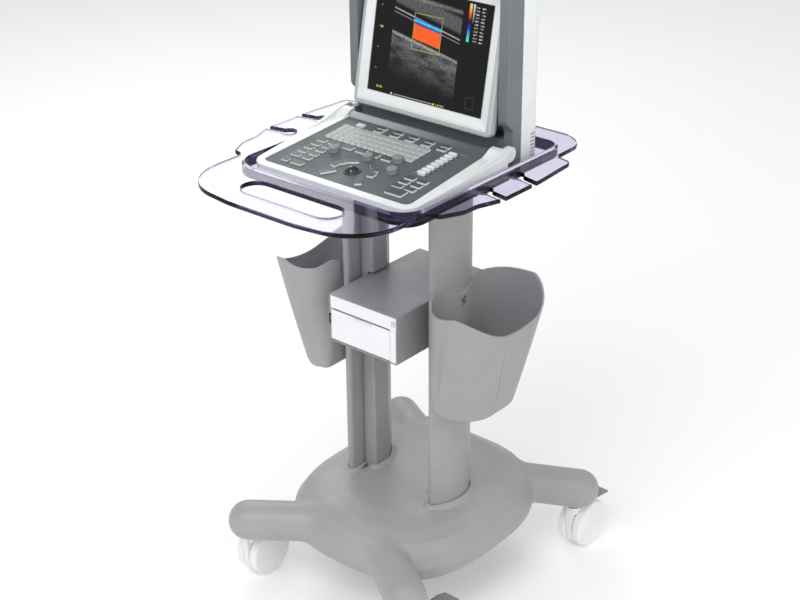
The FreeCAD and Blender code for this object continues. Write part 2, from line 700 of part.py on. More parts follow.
def console_case():
    """Hollow moulding with a raised trim round the deck and the two hinge arms."""
    body = slab(console_outline(0.0), -60.0, 1.5)
    body = body.makeFillet(1.4, horizontal_at(body, 1.5))
    shape = fuse([body, hinge_arms()])
    room = slab(console_outline(-2.5), -70.0, -2.0)
    shape = shape.cut(room)
    shape = shape.cut(slab(panel_outline(0.0), -10.0, 10.0))
    on_deck(shape)
    underside = 824.5
    shape = shape.cut(box(-200.0, 200.0, -250.0, 100.0, 700.0, underside))
    floor = slab(console_outline(-1.0), -60.0, -10.0)
    on_deck(floor)
    floor = floor.common(box(-200.0, 200.0, -250.0, 100.0, underside, underside + 2.5))
    shape = shape.fuse(floor).removeSplitter()
    pin = cyl((-190.0,) + FOLD_AXIS, (1, 0, 0), 4.0 + RUNNING_GAP, 380.0)
    return shape.cut(pin)


def key(x, v, width, height, turn=0.0, rise=KEY_RISE):
    """One key in deck coordinates: rounded body with a softened top."""
    body = slab(rectangle(-width / 2, width / 2, -height / 2, height / 2, 1.2), -KEY_DEPTH, rise)
    body = body.makeChamfer(0.5, horizontal_at(body, rise))
    body.rotate(Vector(0, 0, 0), Vector(0, 0, 1), turn)
    body.translate(Vector(x, v, 0.0))
    return body


def key_hole(x, v, width, height, turn=0.0):
    w = width / 2 + KEY_GAP
    h = height / 2 + KEY_GAP
    hole = slab(rectangle(-w, w, -h, h, 1.5), -10.0, 10.0)
    hole.rotate(Vector(0, 0, 0), Vector(0, 0, 1), turn)
    hole.translate(Vector(x, v, 0.0))
    return hole


def alpha_layout():
    """Typing block: fourteen columns, with one wide key closing each lower row."""
    places = []
    wide_from = (14, 13, 12, 12)
    for row, v in enumerate(KEY_ROWS_V):
        for column in range(wide_from[row]):
            x = ALPHA_LEFT + KEY_PITCH * (column + 0.5)
            places.append((x, v) + KEY_SIZE)
        left = ALPHA_LEFT + KEY_PITCH * wide_from[row]
        right = ALPHA_LEFT + KEY_PITCH * 14
        if right - left > 1.0:
            width = right - left - (KEY_PITCH - KEY_SIZE[0])
            places.append(((left + right) / 2, v, width, KEY_SIZE[1]))
    return places


def function_layout():
    places = [(x, v) + MENU_SIZE for x in MENU_X for v in MENU_V]
    places += [(x, FUNCTION_V, 20.0, 13.0) for x in FUNCTION_X]
    return places


def left_layout():
    places = [(x, v) + SIDE_KEY_SIZE for x in LEFT_COLUMNS_X for v in LEFT_COLUMNS_V]
    places.append((-125.0, -184.0, 14.0, 12.0))
    places.append((-99.0, -184.0, 24.0, 12.0))
    return places


def right_layout():
    places = [(x, v) + SIDE_KEY_SIZE for x in RIGHT_COLUMNS_X for v in RIGHT_COLUMNS_V]
    places.append((112.0, -180.5, 34.0, 20.0))
    return places


def ring_layout():
    """Keys set round the trackball, each turned to face it."""
    places = []
    for radius, angle in ARC_KEYS:
        a = math.radians(angle)
        places.append((radius * math.cos(a), BALL_V + radius * math.sin(a), 12.0, 15.0, angle))
    for side in (-1.0, 1.0):
        places.append((side * 34.0, BALL_V - 22.0, 12.0, 28.0, side * 35.0))
    return places


POWER_PLACE = [(-105.0, -17.0, 16.0, 11.0)]


def keys(layout):
    return on_deck(group([key(*place) for place in layout]))


def console_deck():
    """Deck plate in the case opening: a roll along its rear and a hole for every control."""
    plate = slab(panel_outline(-0.3), -2.0, 0.0)
    flange = slab(panel_outline(4.0), -3.5, -2.0)
    flange = flange.common(box(-200.0, 200.0, -250.0, PANEL_REAR_V + 0.2, -10.0, 10.0))
    roll = [
        (0.5, -1.5, 0), (5.5, 7.0, 7.0), (12.0, 9.5, 6.0), (PANEL_REAR_V - 0.4, 5.5, 5.0),
        (PANEL_REAR_V - 0.4, -1.5, 0),
    ]
    deck = fuse([plate, flange, prism_x(roll, -148.4, 148.4)])
    layouts = alpha_layout() + function_layout() + left_layout() + right_layout()
    layouts += ring_layout() + POWER_PLACE
    tools = [key_hole(*place) for place in layouts]
    for v in TGC_V:
        reach = TGC_TRAVEL + 2.6
        tools.append(box(TGC_X - reach, TGC_X + reach, v - 1.6, v + 1.6, -10.0, 10.0))
    for x, v in KNOBS.values():
        tools.append(cyl((x, v, -10.0), (0, 0, 1), 3.0 + RUNNING_GAP, 20.0))
    tools.append(cyl((0.0, BALL_V, -10.0), (0, 0, 1), 14.5, 20.0))
    deck = deck.cut(group(tools)).removeSplitter()
    return on_deck(deck)


def console_board():
    board = box(-142.0, 142.0, -196.0, 4.0, BOARD_TOP - 1.6, BOARD_TOP)
    holes = [cyl((0.0, BALL_V, -20.0), (0, 0, 1), 15.0, 30.0)]
    for x, v in KNOBS.values():
        holes.append(cyl((x, v, -20.0), (0, 0, 1), 3.4, 30.0))
    return on_deck(board.cut(group(holes)))


def tgc_sliders():
    """Gain sliders, each a grip over its slot with a stem down to the board."""
    solids = []
    for v in TGC_V:
        grip = slab(rectangle(TGC_X - 7.0, TGC_X + 7.0, v - 3.6, v + 3.6, 1.0), 0.3, 6.0)
        grip = grip.makeChamfer(0.7, horizontal_at(grip, 6.0))
        stem = box(TGC_X - 2.0, TGC_X + 2.0, v - 1.4, v + 1.4, -6.5, 0.4)
        solids.append(grip.fuse(stem).removeSplitter())
    return on_deck(group(solids))


def knob(x, v):
    """Rotary knob with a fluted grip and its shaft through the deck and board."""
    cap = cyl((x, v, 0.4), (0, 0, 1), KNOB_RADIUS, 9.6)
    cap = cap.makeChamfer(1.0, horizontal_at(cap, 10.0))
    flutes = []
    for k in range(18):
        a = 2.0 * math.pi * k / 18
        reach = KNOB_RADIUS + 0.6
        flutes.append(cyl((x + reach * math.cos(a), v + reach * math.sin(a), 2.5), (0, 0, 1), 1.1, 10.0))
    cap = cap.cut(group(flutes))
    shaft = cyl((x, v, -9.5), (0, 0, 1), 3.0, 10.5)
    return on_deck(cap.fuse(shaft).removeSplitter())


def trackball_ring():
    """Cup that seats the ball, with a raised rim on the deck."""
    cup = cyl((0.0, BALL_V, -15.0), (0, 0, 1), 14.4, 17.2)
    cup = cup.makeChamfer(1.0, horizontal_at(cup, 2.2))
    seat = Part.makeSphere(BALL_RADIUS + 0.1, Vector(0.0, BALL_V, BALL_W))
    throat = cyl((0.0, BALL_V, BALL_W), (0, 0, 1), BALL_RADIUS + 0.1, 20.0)
    return on_deck(cup.cut(seat.fuse(throat)))


def trackball():
    ball = Part.makeSphere(BALL_RADIUS, Vector(0.0, BALL_V, BALL_W))
    return on_deck(ball)


def hinge_pins():
    """Pins pressed in the tower's cheeks; the console's arms turn on them."""
    y, z = FOLD_AXIS
    return group([cyl((side * 160.5, y, z), (side, 0, 0), 4.0, 22.0) for side in (-1.0, 1.0)])


# ---------------------------------------------------------------- display
# Display coordinates: x right, u up the screen from its bottom edge, -w into its depth.
BEZEL_DEPTH = 14.0
PIN_BACK = LCD_AXIS[0] - LCD_ORIGIN[1]
PIN_UP = LCD_AXIS[1] - LCD_ORIGIN[2]
TILT_SIN = math.sin(math.radians(LCD_TILT))
TILT_COS = math.cos(math.radians(LCD_TILT))
PIN_U = PIN_BACK * TILT_SIN + PIN_UP * TILT_COS        # the hinge axis up the display
PIN_DEPTH = PIN_BACK * TILT_COS - PIN_UP * TILT_SIN    # and behind its front
PIN_RADIUS = 3.0


def on_display(shape):
    """Move a shape from display coordinates into place."""
    shape.rotate(Vector(0, 0, 0), Vector(1, 0, 0), 90.0 - LCD_TILT)
    shape.translate(Vector(*LCD_ORIGIN))
    return shape


def frame_block(front, back, inset):
    points = rectangle(-LCD_HALF_X, LCD_HALF_X, 0.0, LCD_HEIGHT, 9.0)
    return slab(grown(points, -inset), -back, -front)


def window():
    """Opening of the bezel: its faces slope in from the silver lip to the screen."""
    top = SCREEN_BOTTOM + SCREEN_HEIGHT
    mouth = rectangle(-141.0, 141.0, 13.0, top + 16.0, 4.0)
    sill = rectangle(-SCREEN_HALF_X, SCREEN_HALF_X, SCREEN_BOTTOM, top, 1.0)
    return Part.makeLoft([rounded_outline(mouth, 0.01), rounded_outline(sill, -5.3)], True, True)


def pin_bar(radius, x0, x1):
    return cyl((x0, PIN_U, -PIN_DEPTH), (1, 0, 0), radius, x1 - x0)


def display_bezel():
    block = frame_block(0.0, BEZEL_DEPTH, 0.0)
    block = block.makeFillet(3.5, horizontal_at(block, 0.0))
    block = block.cut(window())
    block = block.cut(box(-130.0, 130.0, 18.0, 220.0, -20.0, -5.2))
    block = block.cut(pin_bar(PIN_RADIUS, -160.0, 160.0))
    return on_display(block)


def display_panel():
    """Liquid-crystal panel behind the window."""
    return on_display(box(-129.0, 129.0, 20.0, 218.0, -12.5, -5.4))


def display_cover():
    block = frame_block(BEZEL_DEPTH, LCD_THICK, 0.0)
    block = block.makeFillet(3.0, horizontal_at(block, -LCD_THICK))
    block = block.cut(frame_block(BEZEL_DEPTH - 1.0, LCD_THICK - 2.0, 3.0))
    ribs = [box(x - 1.0, x + 1.0, 3.0, LCD_HEIGHT - 3.0, -LCD_THICK + 1.0, -BEZEL_DEPTH)
            for x in (-80.0, 0.0, 80.0)]
    return on_display(fuse([block] + ribs))


def display_pins():
    """Pins the display swings on, each with a collar beside the tower frame."""
    solids = []
    for side in (-1.0, 1.0):
        pin = cyl((side * 137.0, PIN_U, -PIN_DEPTH), (side, 0, 0), PIN_RADIUS, 23.0)
        collar = cyl((side * 149.0, PIN_U, -PIN_DEPTH), (side, 0, 0), 7.0, 2.6)
        solids.append(pin.fuse(collar).removeSplitter())
    return on_display(group(solids))


# ---------------------------------------------------------------- tower
SKIN = 3.0
FAN_CENTRE = (90.0, 960.0)
FAN_FRONT = 115.5
FAN_BACK = 130.5
BOARD_Y = 108.0


def tower_block(inset):
    """Front half of the tower; the lower part curves back clear of the keyboard hinge."""
    profile = [
        (TOWER_FRONT, TOWER_TOP, 0), (TOWER_FRONT, 910.0, 16.0), (TOWER_STEP, 894.0, 12.0),
        (TOWER_STEP, TOWER_BOTTOM, 0), (TOWER_SPLIT, TOWER_BOTTOM, 0), (TOWER_SPLIT, TOWER_TOP, 0),
    ]
    profile = grown(profile, -inset)
    if inset > 0:
        profile[4] = (TOWER_SPLIT + 1.0, TOWER_BOTTOM + inset, 0)
        profile[5] = (TOWER_SPLIT + 1.0, TOWER_TOP - inset, 0)
    x = TOWER_HALF_X - inset
    return prism_x(profile, -x, x)


def tower_frame():
    shell = tower_block(0.0)
    corners = edges_at(shell, lambda e: e.BoundBox.ZMin > TOWER_TOP - 1.0 and e.BoundBox.XMax - e.BoundBox.XMin < 0.1)
    shell = shell.makeFillet(14.0, corners)
    front = edges_at(shell, lambda e: e.BoundBox.YMax < TOWER_FRONT + 0.1 and e.BoundBox.ZMax > 930.0)
    shell = shell.makeFillet(3.0, front)
    shell = shell.cut(tower_block(SKIN))
    tub = box(-TUB_HALF_X - 2.0, TUB_HALF_X + 2.0, TOWER_FRONT + 1.0, 103.0, TUB_BOTTOM - 2.0, TUB_TOP + 2.0)
    recess = box(-TUB_HALF_X, TUB_HALF_X, 0.0, 101.0, TUB_BOTTOM, TUB_TOP)
    lower_lip = box(-200.0, 200.0, 0.0, TOWER_STEP, 800.0, 905.0)
    spacers = [cyl((x, 102.0, z), (0, 1, 0), 4.0, BOARD_Y - 102.0)
               for x in (-130.0, 130.0) for z in (890.0, 1085.0)]
    pieces = [shell, tub.cut(lower_lip)] + spacers
    y, z = LCD_AXIS
    for side in (-1.0, 1.0):
        pieces.append(cyl((side * TUB_HALF_X, y, z), (side, 0, 0), 8.0, 11.0))
    shape = fuse(pieces).cut(recess)
    shape = shape.cut(cyl((-161.5, y, z), (1, 0, 0), PIN_RADIUS + RUNNING_GAP, 323.0))
    fold_y, fold_z = FOLD_AXIS
    for side in (-1.0, 1.0):
        x0 = min(side * 160.0, side * 172.0)
        lug = cyl((x0, fold_y, fold_z), (1, 0, 0), 7.5, 12.0)
        web = box(x0, x0 + 12.0, fold_y, 72.0, fold_z - 7.5, fold_z + 7.5)
        shape = fuse([shape, lug, web])
    return shape.cut(cyl((-182.5, fold_y, fold_z), (1, 0, 0), 4.0, 365.0))


def casing_block(inset):
    """Rear half of the tower, fuller near its foot."""
    profile = [
        (TOWER_SPLIT, TOWER_BOTTOM, 0), (149.0, TOWER_BOTTOM, 6.0), (149.0, 886.0, 22.0),
        (TOWER_REAR, 912.0, 22.0), (TOWER_REAR, TOWER_TOP, 14.0), (TOWER_SPLIT, TOWER_TOP, 0),
    ]
    profile = grown(profile, -inset)
    if inset > 0:
        profile[0] = (TOWER_SPLIT - 5.0, TOWER_BOTTOM + inset, 0)
        profile[-1] = (TOWER_SPLIT - 5.0, TOWER_TOP - inset, 0)
    x = TOWER_HALF_X - inset
    body = prism_x(profile, -x, x)
    plan = [(-x, 40.0, 0), (x, 40.0, 0), (x, 149.0 - inset, 26.0), (-x, 149.0 - inset, 26.0)]
    return body.common(slab(plan, TOWER_BOTTOM - 1.0, TOWER_TOP + 1.0))


def tower_casing():
    shell = casing_block(0.0).cut(casing_block(SKIN))
    vents = []
    for k in range(7):
        z = 836.0 + 6.4 * k
        vents.append(box(150.0, 190.0, 118.0, 144.0, z, z + 2.6))
    for k in range(9):
        z = FAN_CENTRE[1] - 24.0 + 6.0 * k
        vents.append(box(FAN_CENTRE[0] - 24.0, FAN_CENTRE[0] + 24.0, 120.0, 160.0, z - 1.2, z + 1.2))
    for x in (-125.0, -60.0):
        vents.append(box(x - 22.0, x + 22.0, 140.0, 160.0, 845.0, 871.0))
    shell = shell.cut(group(vents))
    sockets = box(-180.0, -160.0, 98.5, 131.5, 940.5, 1049.5)
    handle_bolts = [cyl((x, 112.0, TOWER_TOP - 10.0), (0, 0, 1), 4.0, 20.0) for x in (-100.0, 100.0)]
    return shell.cut(sockets).cut(group(handle_bolts))


def probe_sockets():
    """Two flat multi-pin probe connectors behind the left side of the casing."""
    body = box(-173.5, -160.5, 99.0, 131.0, 941.0, 1049.0)
    faces = [box(-176.0, -171.5, 103.0, 127.0, z, z + 44.0) for z in (946.0, 1000.0)]
    return body.cut(group(faces))


def carry_handle():
    """Folding-over bail on the tower's top, its two stems through the casing."""
    bar = slab(rectangle(-112.0, 112.0, 103.0, 121.0, 8.0), TOWER_TOP + 24.0, TOWER_TOP + 36.0)
    bar = bar.makeFillet(4.0, horizontal_at(bar, TOWER_TOP + 36.0) + horizontal_at(bar, TOWER_TOP + 24.0))
    legs = [slab(rectangle(x - 11.0, x + 11.0, 104.0, 120.0, 6.0), TOWER_TOP, TOWER_TOP + 30.0)
            for x in (-100.0, 100.0)]
    stems = [cyl((x, 112.0, TOWER_TOP - 8.0), (0, 0, 1), 4.0, 12.0) for x in (-100.0, 100.0)]
    return fuse([bar] + legs + stems)


def main_board():
    """Processing board on the four spacers, with its larger chips and a shield can."""
    board = box(-140.0, 140.0, BOARD_Y, BOARD_Y + 1.6, 880.0, 1100.0)
    chips = [
        box(-30.0, 30.0, BOARD_Y + 1.0, BOARD_Y + 8.0, 1010.0, 1070.0),
        box(-110.0, -70.0, BOARD_Y + 1.0, BOARD_Y + 5.0, 1020.0, 1060.0),
        box(-115.0, -55.0, BOARD_Y + 1.0, BOARD_Y + 10.0, 920.0, 980.0),
    ]
    return fuse([board] + chips)


def power_supply():
    """Supply in its vented steel box on the casing floor."""
    case = box(-150.0, -35.0, 96.0, 141.0, TOWER_BOTTOM + SKIN, 874.0)
    room = box(-148.8, -36.2, 97.2, 139.8, TOWER_BOTTOM + SKIN + 1.2, 872.8)
    slots = [box(x, x + 3.0, 105.0, 132.0, 870.0, 880.0) for x in range(-140, -45, 8)]
    return case.cut(room).cut(group(slots))


def fan_housing():
    x, z = FAN_CENTRE
    body = box(x - 30.0, x + 30.0, FAN_FRONT, FAN_BACK, z - 30.0, z + 30.0)
    body = body.cut(cyl((x, FAN_FRONT - 1.0, z), (0, 1, 0), 28.5, 20.0))
    arms = [box(x - 29.5, x + 29.5, FAN_BACK - 2.5, FAN_BACK, z - 2.5, z + 2.5),
            box(x - 2.5, x + 2.5, FAN_BACK - 2.5, FAN_BACK, z - 29.5, z + 29.5),
            cyl((x, FAN_BACK - 4.0, z), (0, 1, 0), 9.0, 4.0)]
    body = fuse([body] + arms)
    return body.cut(cyl((x, FAN_FRONT, z), (0, 1, 0), 2.0 + RUNNING_GAP, 20.0))


def fan_rotor():
    """Hub with seven pitched blades and a spindle in the housing."""
    x, z = FAN_CENTRE
    hub = cyl((x, FAN_FRONT + 1.0, z), (0, 1, 0), 10.0, 9.0)
    pieces = [hub, cyl((x, FAN_FRONT + 5.0, z), (0, 1, 0), 2.0, 9.5)]
    for k in range(7):
        blade = box(8.0, 27.0, -0.7, 0.7, -4.5, 4.5)
        blade.rotate(Vector(0, 0, 0), Vector(1, 0, 0), 38.0)
        blade.rotate(Vector(0, 0, 0), Vector(1, 0, 0), 90.0)
        blade.rotate(Vector(0, 0, 0), Vector(0, 1, 0), 360.0 * k / 7)
        blade.translate(Vector(x, FAN_FRONT + 5.5, z))
        pieces.append(blade)
    return fuse(pieces)


# ---------------------------------------------------------------- write every node
def save_trolley():
    save(base_cover(), "base_cover")
    save(base_frame(), "base_frame")
    column = column_right()
    save(column, "column_right")
    save(mirrored(column), "column_left")
    save(tray(), "tray")
    save(tray_brackets(), "tray_brackets")
    save(tray_screws(), "tray_screws")
    storage_bin = bin_right()
    save(storage_bin, "bin_right")
    save(mirrored(storage_bin), "bin_left")
    screw = bin_screw()
    save(group([screw, mirrored(screw)]), "bin_screws")
    save(printer_cradle(), "printer_cradle")


def save_casters():
    save(group([caster_stem(x, y) for x, y in STEMS.values()]), "caster_stems")
    for name, (x, y) in STEMS.items():
        save(caster_hood(x, y), "caster_hood_" + name)
        save(caster_wheels(x, y), "caster_wheels_" + name)
        save(brake_pedal(x, y), "brake_pedal_" + name)


def save_printer():
    save(printer_case(), "printer_case")
    save(printer_bezel(), "printer_bezel")
    save(printer_door(), "printer_door")
    save(print_head(), "print_head")
    save(platen_roller(), "platen_roller")
    save(paper_roll(), "paper_roll")
    save(printer_button(), "printer_button")


def save_console():
    save(console_case(), "console_case")
    save(console_deck(), "console_deck")
    save(console_board(), "console_board")
    save(keys(alpha_layout()), "keys_alpha")
    save(keys(function_layout()), "keys_function")
    save(keys(left_layout()), "keys_left")
    save(keys(right_layout()), "keys_right")
    save(keys(ring_layout()), "keys_trackball")
    save(keys(POWER_PLACE), "power_key")
    save(tgc_sliders(), "tgc_sliders")
    for name, (x, v) in KNOBS.items():
        save(knob(x, v), name)
    save(trackball(), "trackball")
    save(trackball_ring(), "trackball_ring")
    save(hinge_pins(), "hinge_pins")


def save_display():
    save(display_bezel(), "display_bezel")
    save(display_panel(), "display_panel")
    save(display_cover(), "display_cover")
    save(display_pins(), "display_pins")


def save_tower():
    save(tower_frame(), "tower_frame")
    save(tower_casing(), "tower_casing")
    save(probe_sockets(), "probe_sockets")
    save(carry_handle(), "carry_handle")
    save(main_board(), "main_board")
    save(power_supply(), "power_supply")
    save(fan_housing(), "fan_housing")
    save(fan_rotor(), "fan_rotor")


os.makedirs("parts", exist_ok=True)
save_trolley()
save_casters()
save_printer()
save_console()
save_display()
save_tower()
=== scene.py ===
import json
import math

import bmesh
import bpy
import numpy as np
from mathutils import Matrix, Vector


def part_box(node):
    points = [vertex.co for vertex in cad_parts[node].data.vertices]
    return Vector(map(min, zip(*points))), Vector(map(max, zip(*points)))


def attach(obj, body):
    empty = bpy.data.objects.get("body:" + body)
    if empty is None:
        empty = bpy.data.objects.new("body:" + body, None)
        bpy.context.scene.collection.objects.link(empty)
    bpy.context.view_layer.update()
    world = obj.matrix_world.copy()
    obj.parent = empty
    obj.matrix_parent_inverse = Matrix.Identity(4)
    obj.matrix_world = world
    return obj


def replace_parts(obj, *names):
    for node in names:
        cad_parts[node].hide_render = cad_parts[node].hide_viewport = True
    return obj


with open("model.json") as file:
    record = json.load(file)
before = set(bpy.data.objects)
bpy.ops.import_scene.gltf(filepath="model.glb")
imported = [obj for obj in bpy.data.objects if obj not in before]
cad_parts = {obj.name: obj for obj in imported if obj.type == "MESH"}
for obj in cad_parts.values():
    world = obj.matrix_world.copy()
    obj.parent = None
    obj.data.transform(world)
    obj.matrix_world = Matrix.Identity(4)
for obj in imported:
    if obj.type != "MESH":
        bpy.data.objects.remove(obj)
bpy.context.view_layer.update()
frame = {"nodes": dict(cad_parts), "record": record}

# Looks for the ultrasound machine: node-based materials, the base as one soft moulding, the bins drawn
# out a little, the column collars, the small fittings, and the studio.
# The row's frame is in metres, +Z up, with its origin on the floor at the middle of the footprint and the
# operator at -Y. New pieces are drawn in millimetres from the line through the columns, which stands
# ROW_SHIFT_Y behind that origin, and mesh_object() puts them in the row's frame.

NODES = frame["nodes"]
MM = 0.001
ROW_SHIFT_Y = 0.00725


# ---------------------------------------------------------------- node graphs
class Graph:
    """Adds nodes to a tree. An input takes a value, a socket, or a node for its first output."""

    def __init__(self, tree):
        self.tree = tree
        self.tree.nodes.clear()

    def add(self, kind, inputs=None, **settings):
        node = self.tree.nodes.new(kind)
        for key, value in settings.items():
            setattr(node, key, value)
        for key, value in (inputs or {}).items():
            self.feed(node.inputs[key], value)
        return node

    def feed(self, socket, value):
        if isinstance(value, bpy.types.NodeSocket):
            self.tree.links.new(value, socket)
        elif isinstance(value, bpy.types.Node):
            self.tree.links.new(value.outputs[0], socket)
        else:
            socket.default_value = value

    def math(self, operation, a, b=0.0, clamp=False):
        return self.add("ShaderNodeMath", {0: a, 1: b}, operation=operation, use_clamp=clamp).outputs[0]

    def chain(self, operation, first, others):
        for other in others:
            first = self.math(operation, first, other)
        return first

    def product(self, first, *others):
        return self.chain("MULTIPLY", first, others)

    def total(self, first, *others):
        return self.chain("ADD", first, others)

    def inverse(self, value):
        return self.math("SUBTRACT", 1.0, value)

    def remap(self, value, low=0.0, high=1.0, start=0.0, stop=1.0, curve="LINEAR"):
        """Take low..high to start..stop, held at both ends."""
        return self.add("ShaderNodeMapRange", {
            "Value": value, "From Min": low, "From Max": high, "To Min": start, "To Max": stop,
        }, interpolation_type=curve).outputs[0]

    def ease(self, value, low, high):
        """0 at low and 1 at high, with a soft start and stop."""
        return self.remap(value, low, high, curve="SMOOTHSTEP")

    def step(self, value, edge, soft):
        """0 below edge, 1 above it, with a soft crossing."""
        return self.ease(value, edge - soft, edge + soft)

    def band(self, value, low, high, soft=0.001):
        """1 between low and high."""
        return self.product(self.step(value, low, soft), self.inverse(self.step(value, high, soft)))


class MaterialGraph(Graph):
    """The node tree of one new material."""

    def __init__(self, name):
        self.material = bpy.data.materials.new(name)
        self.material.use_nodes = True
        super().__init__(self.material.node_tree)
        self.output = self.add("ShaderNodeOutputMaterial")

    def place(self):
        """A point in the row's frame, before any pose moves it."""
        return self.add("ShaderNodeTexCoord").outputs["Object"]

    def axes(self):
        return self.add("ShaderNodeSeparateXYZ", {0: self.place()}).outputs

    def along(self, origin, direction):
        """Distance of a point from an origin along a direction, in metres."""
        offset = self.add("ShaderNodeVectorMath", {0: self.place(), 1: origin}, operation="SUBTRACT")
        line = self.add("ShaderNodeVectorMath", {0: offset, 1: direction}, operation="DOT_PRODUCT")
        return line.outputs["Value"]

    def mix(self, factor, a, b):
        node = self.add("ShaderNodeMix", data_type="RGBA")
        self.feed(node.inputs["Factor"], factor)
        self.feed(node.inputs["A"], a)
        self.feed(node.inputs["B"], b)
        return node.outputs["Result"]

    def noise(self, scale, detail=4.0, rough=0.55, vector=None):
        vector = vector if vector is not None else self.place()
        return self.add("ShaderNodeTexNoise", {
            "Vector": vector, "Scale": scale, "Detail": detail, "Roughness": rough}).outputs[0]

    def finish(self, shader):
        self.feed(self.output.inputs["Surface"], shader)
        return self.material


def colour(r, g, b):
    """Linear colour from display values 0 to 255."""
    def linear(c):
        c = c / 255.0
        return c / 12.92 if c <= 0.04045 else ((c + 0.055) / 1.055) ** 2.4
    return (linear(r), linear(g), linear(b), 1.0)


def scaled(rgba, k):
    return tuple(min(1.0, c * k) for c in rgba[:3]) + (1.0,)


# ---------------------------------------------------------------- one finish for paint, plastic and metal
CLOUD_SCALE = 7.0
BLOTCH_SCALE = 38.0
SMUDGE_SCALE = 16.0
DUST_SCALE = 120.0
RUB_SCALE = 210.0
DUST = colour(192, 191, 188)
GRAIN_HEIGHT = 0.0004
WORN_BRIGHTER = 1.35


def finish_material(name, rgba, rough=0.45, metal=0.0, vary=0.05, grain=900.0, grain_depth=0.04,
                    wear=0.25, wear_colour=None, bevel=0.0008, coat=0.0, dust=0.06, tint=None, gloss=0.5):
    """Painted, moulded or turned surface: cloudy colour, grain, dust on upper faces, rubbed edges."""
    g = MaterialGraph(name)
    cloud = g.step(g.noise(CLOUD_SCALE, 5.0), 0.5, 0.22)
    blotch = g.step(g.noise(BLOTCH_SCALE, 3.0), 0.62, 0.12)
    base = g.mix(cloud, scaled(rgba, 1.0 - vary), scaled(rgba, 1.0 + vary))
    base = g.mix(g.product(blotch, 0.5), base, scaled(rgba, 1.0 - 1.4 * vary))
    if tint is not None:
        base = tint(g, base)

    normal = g.add("ShaderNodeNewGeometry").outputs["Normal"]
    up = g.add("ShaderNodeSeparateXYZ", {0: normal}).outputs["Z"]
    settled = g.product(g.step(up, 0.55, 0.4), g.step(g.noise(DUST_SCALE, 6.0, 0.7), 0.5, 0.25))
    base = g.mix(g.product(settled, dust), base, DUST)

    rounded = g.add("ShaderNodeBevel", {"Radius": bevel}, samples=4)
    bend = g.add("ShaderNodeVectorMath", {0: rounded, 1: normal}, operation="DOT_PRODUCT")
    edge = g.step(g.inverse(bend.outputs["Value"]), 0.10, 0.08)
    rub = g.product(edge, g.step(g.noise(RUB_SCALE, 4.0), 0.5, 0.16))
    worn = wear_colour if wear_colour is not None else scaled(rgba, WORN_BRIGHTER)
    base = g.mix(g.product(rub, wear), base, worn)

    smudge = g.noise(SMUDGE_SCALE, 6.0, 0.65)
    roughness = g.remap(smudge, 0.3, 0.7, max(rough - 0.07, 0.02), min(rough + 0.09, 1.0))
    bump = g.add("ShaderNodeBump", {
        "Height": g.noise(grain, 2.0), "Strength": grain_depth, "Distance": GRAIN_HEIGHT, "Normal": rounded})
    return g.finish(g.add("ShaderNodeBsdfPrincipled", {
        "Base Color": base, "Roughness": roughness, "Metallic": metal, "Normal": bump,
        "Coat Weight": coat, "Coat Roughness": 0.12, "Specular IOR Level": gloss}))


# ---------------------------------------------------------------- screen picture
TILT = math.radians(10.8)
DISPLAY_FOOT = (0.0, 0.033 + ROW_SHIFT_Y, 0.887)
ACTIVE_WIDTH = 0.2458
ACTIVE_HEIGHT = 0.1843
ACTIVE_BOTTOM = 0.0278
LAYER_SLOPE = 0.24          # how far the tissue's layers fall from left to right
LAYER_STRETCH = 1.7
NIGHT = (0.001, 0.001, 0.0015, 1.0)
ECHO = (0.62, 0.64, 0.66, 1.0)
DIM_YELLOW = (0.50, 0.48, 0.06, 1.0)
BLACK_GLASS = (0.004, 0.004, 0.005, 1.0)
FLOW_BOX = (0.345, 0.591, 0.205, 0.540)
EMPTY_BOX = (0.855, 0.925, 0.840, 0.950)
SCALE_FOOT = 0.36           # where the colour bar and the columns of specks beside it end
FLOW_STOPS = ((0.05, (0.90, 0.80, 0.20, 1)), (0.97, (0.10, 0.80, 0.55, 1)), (0.30, (0.95, 0.12, 0.01, 1)),
              (0.46, (0.10, 0.0, 0.0, 1)), (0.50, (0.0, 0.0, 0.05, 1)), (0.68, (0.01, 0.05, 0.65, 1)))
PLAIN_MARKS = (             # left, right, top, bottom, colour
    (0.060, 0.078, 0.388, 0.408, (0.55, 0.52, 0.08, 1.0)),
    (0.235, 0.590, 0.984, 0.991, (0.42, 0.42, 0.42, 1.0)),
    (0.208, 0.222, 0.978, 0.996, (0.62, 0.62, 0.62, 1.0)),
    (0.586, 0.598, 0.978, 0.996, (0.70, 0.68, 0.10, 1.0)))
SPECK_MARKS = (
    (0.075, 0.130, 0.940, 0.960, (0.60, 0.60, 0.05, 1.0)),
    (0.610, 0.680, 0.978, 0.994, (0.50, 0.46, 0.05, 1.0)))


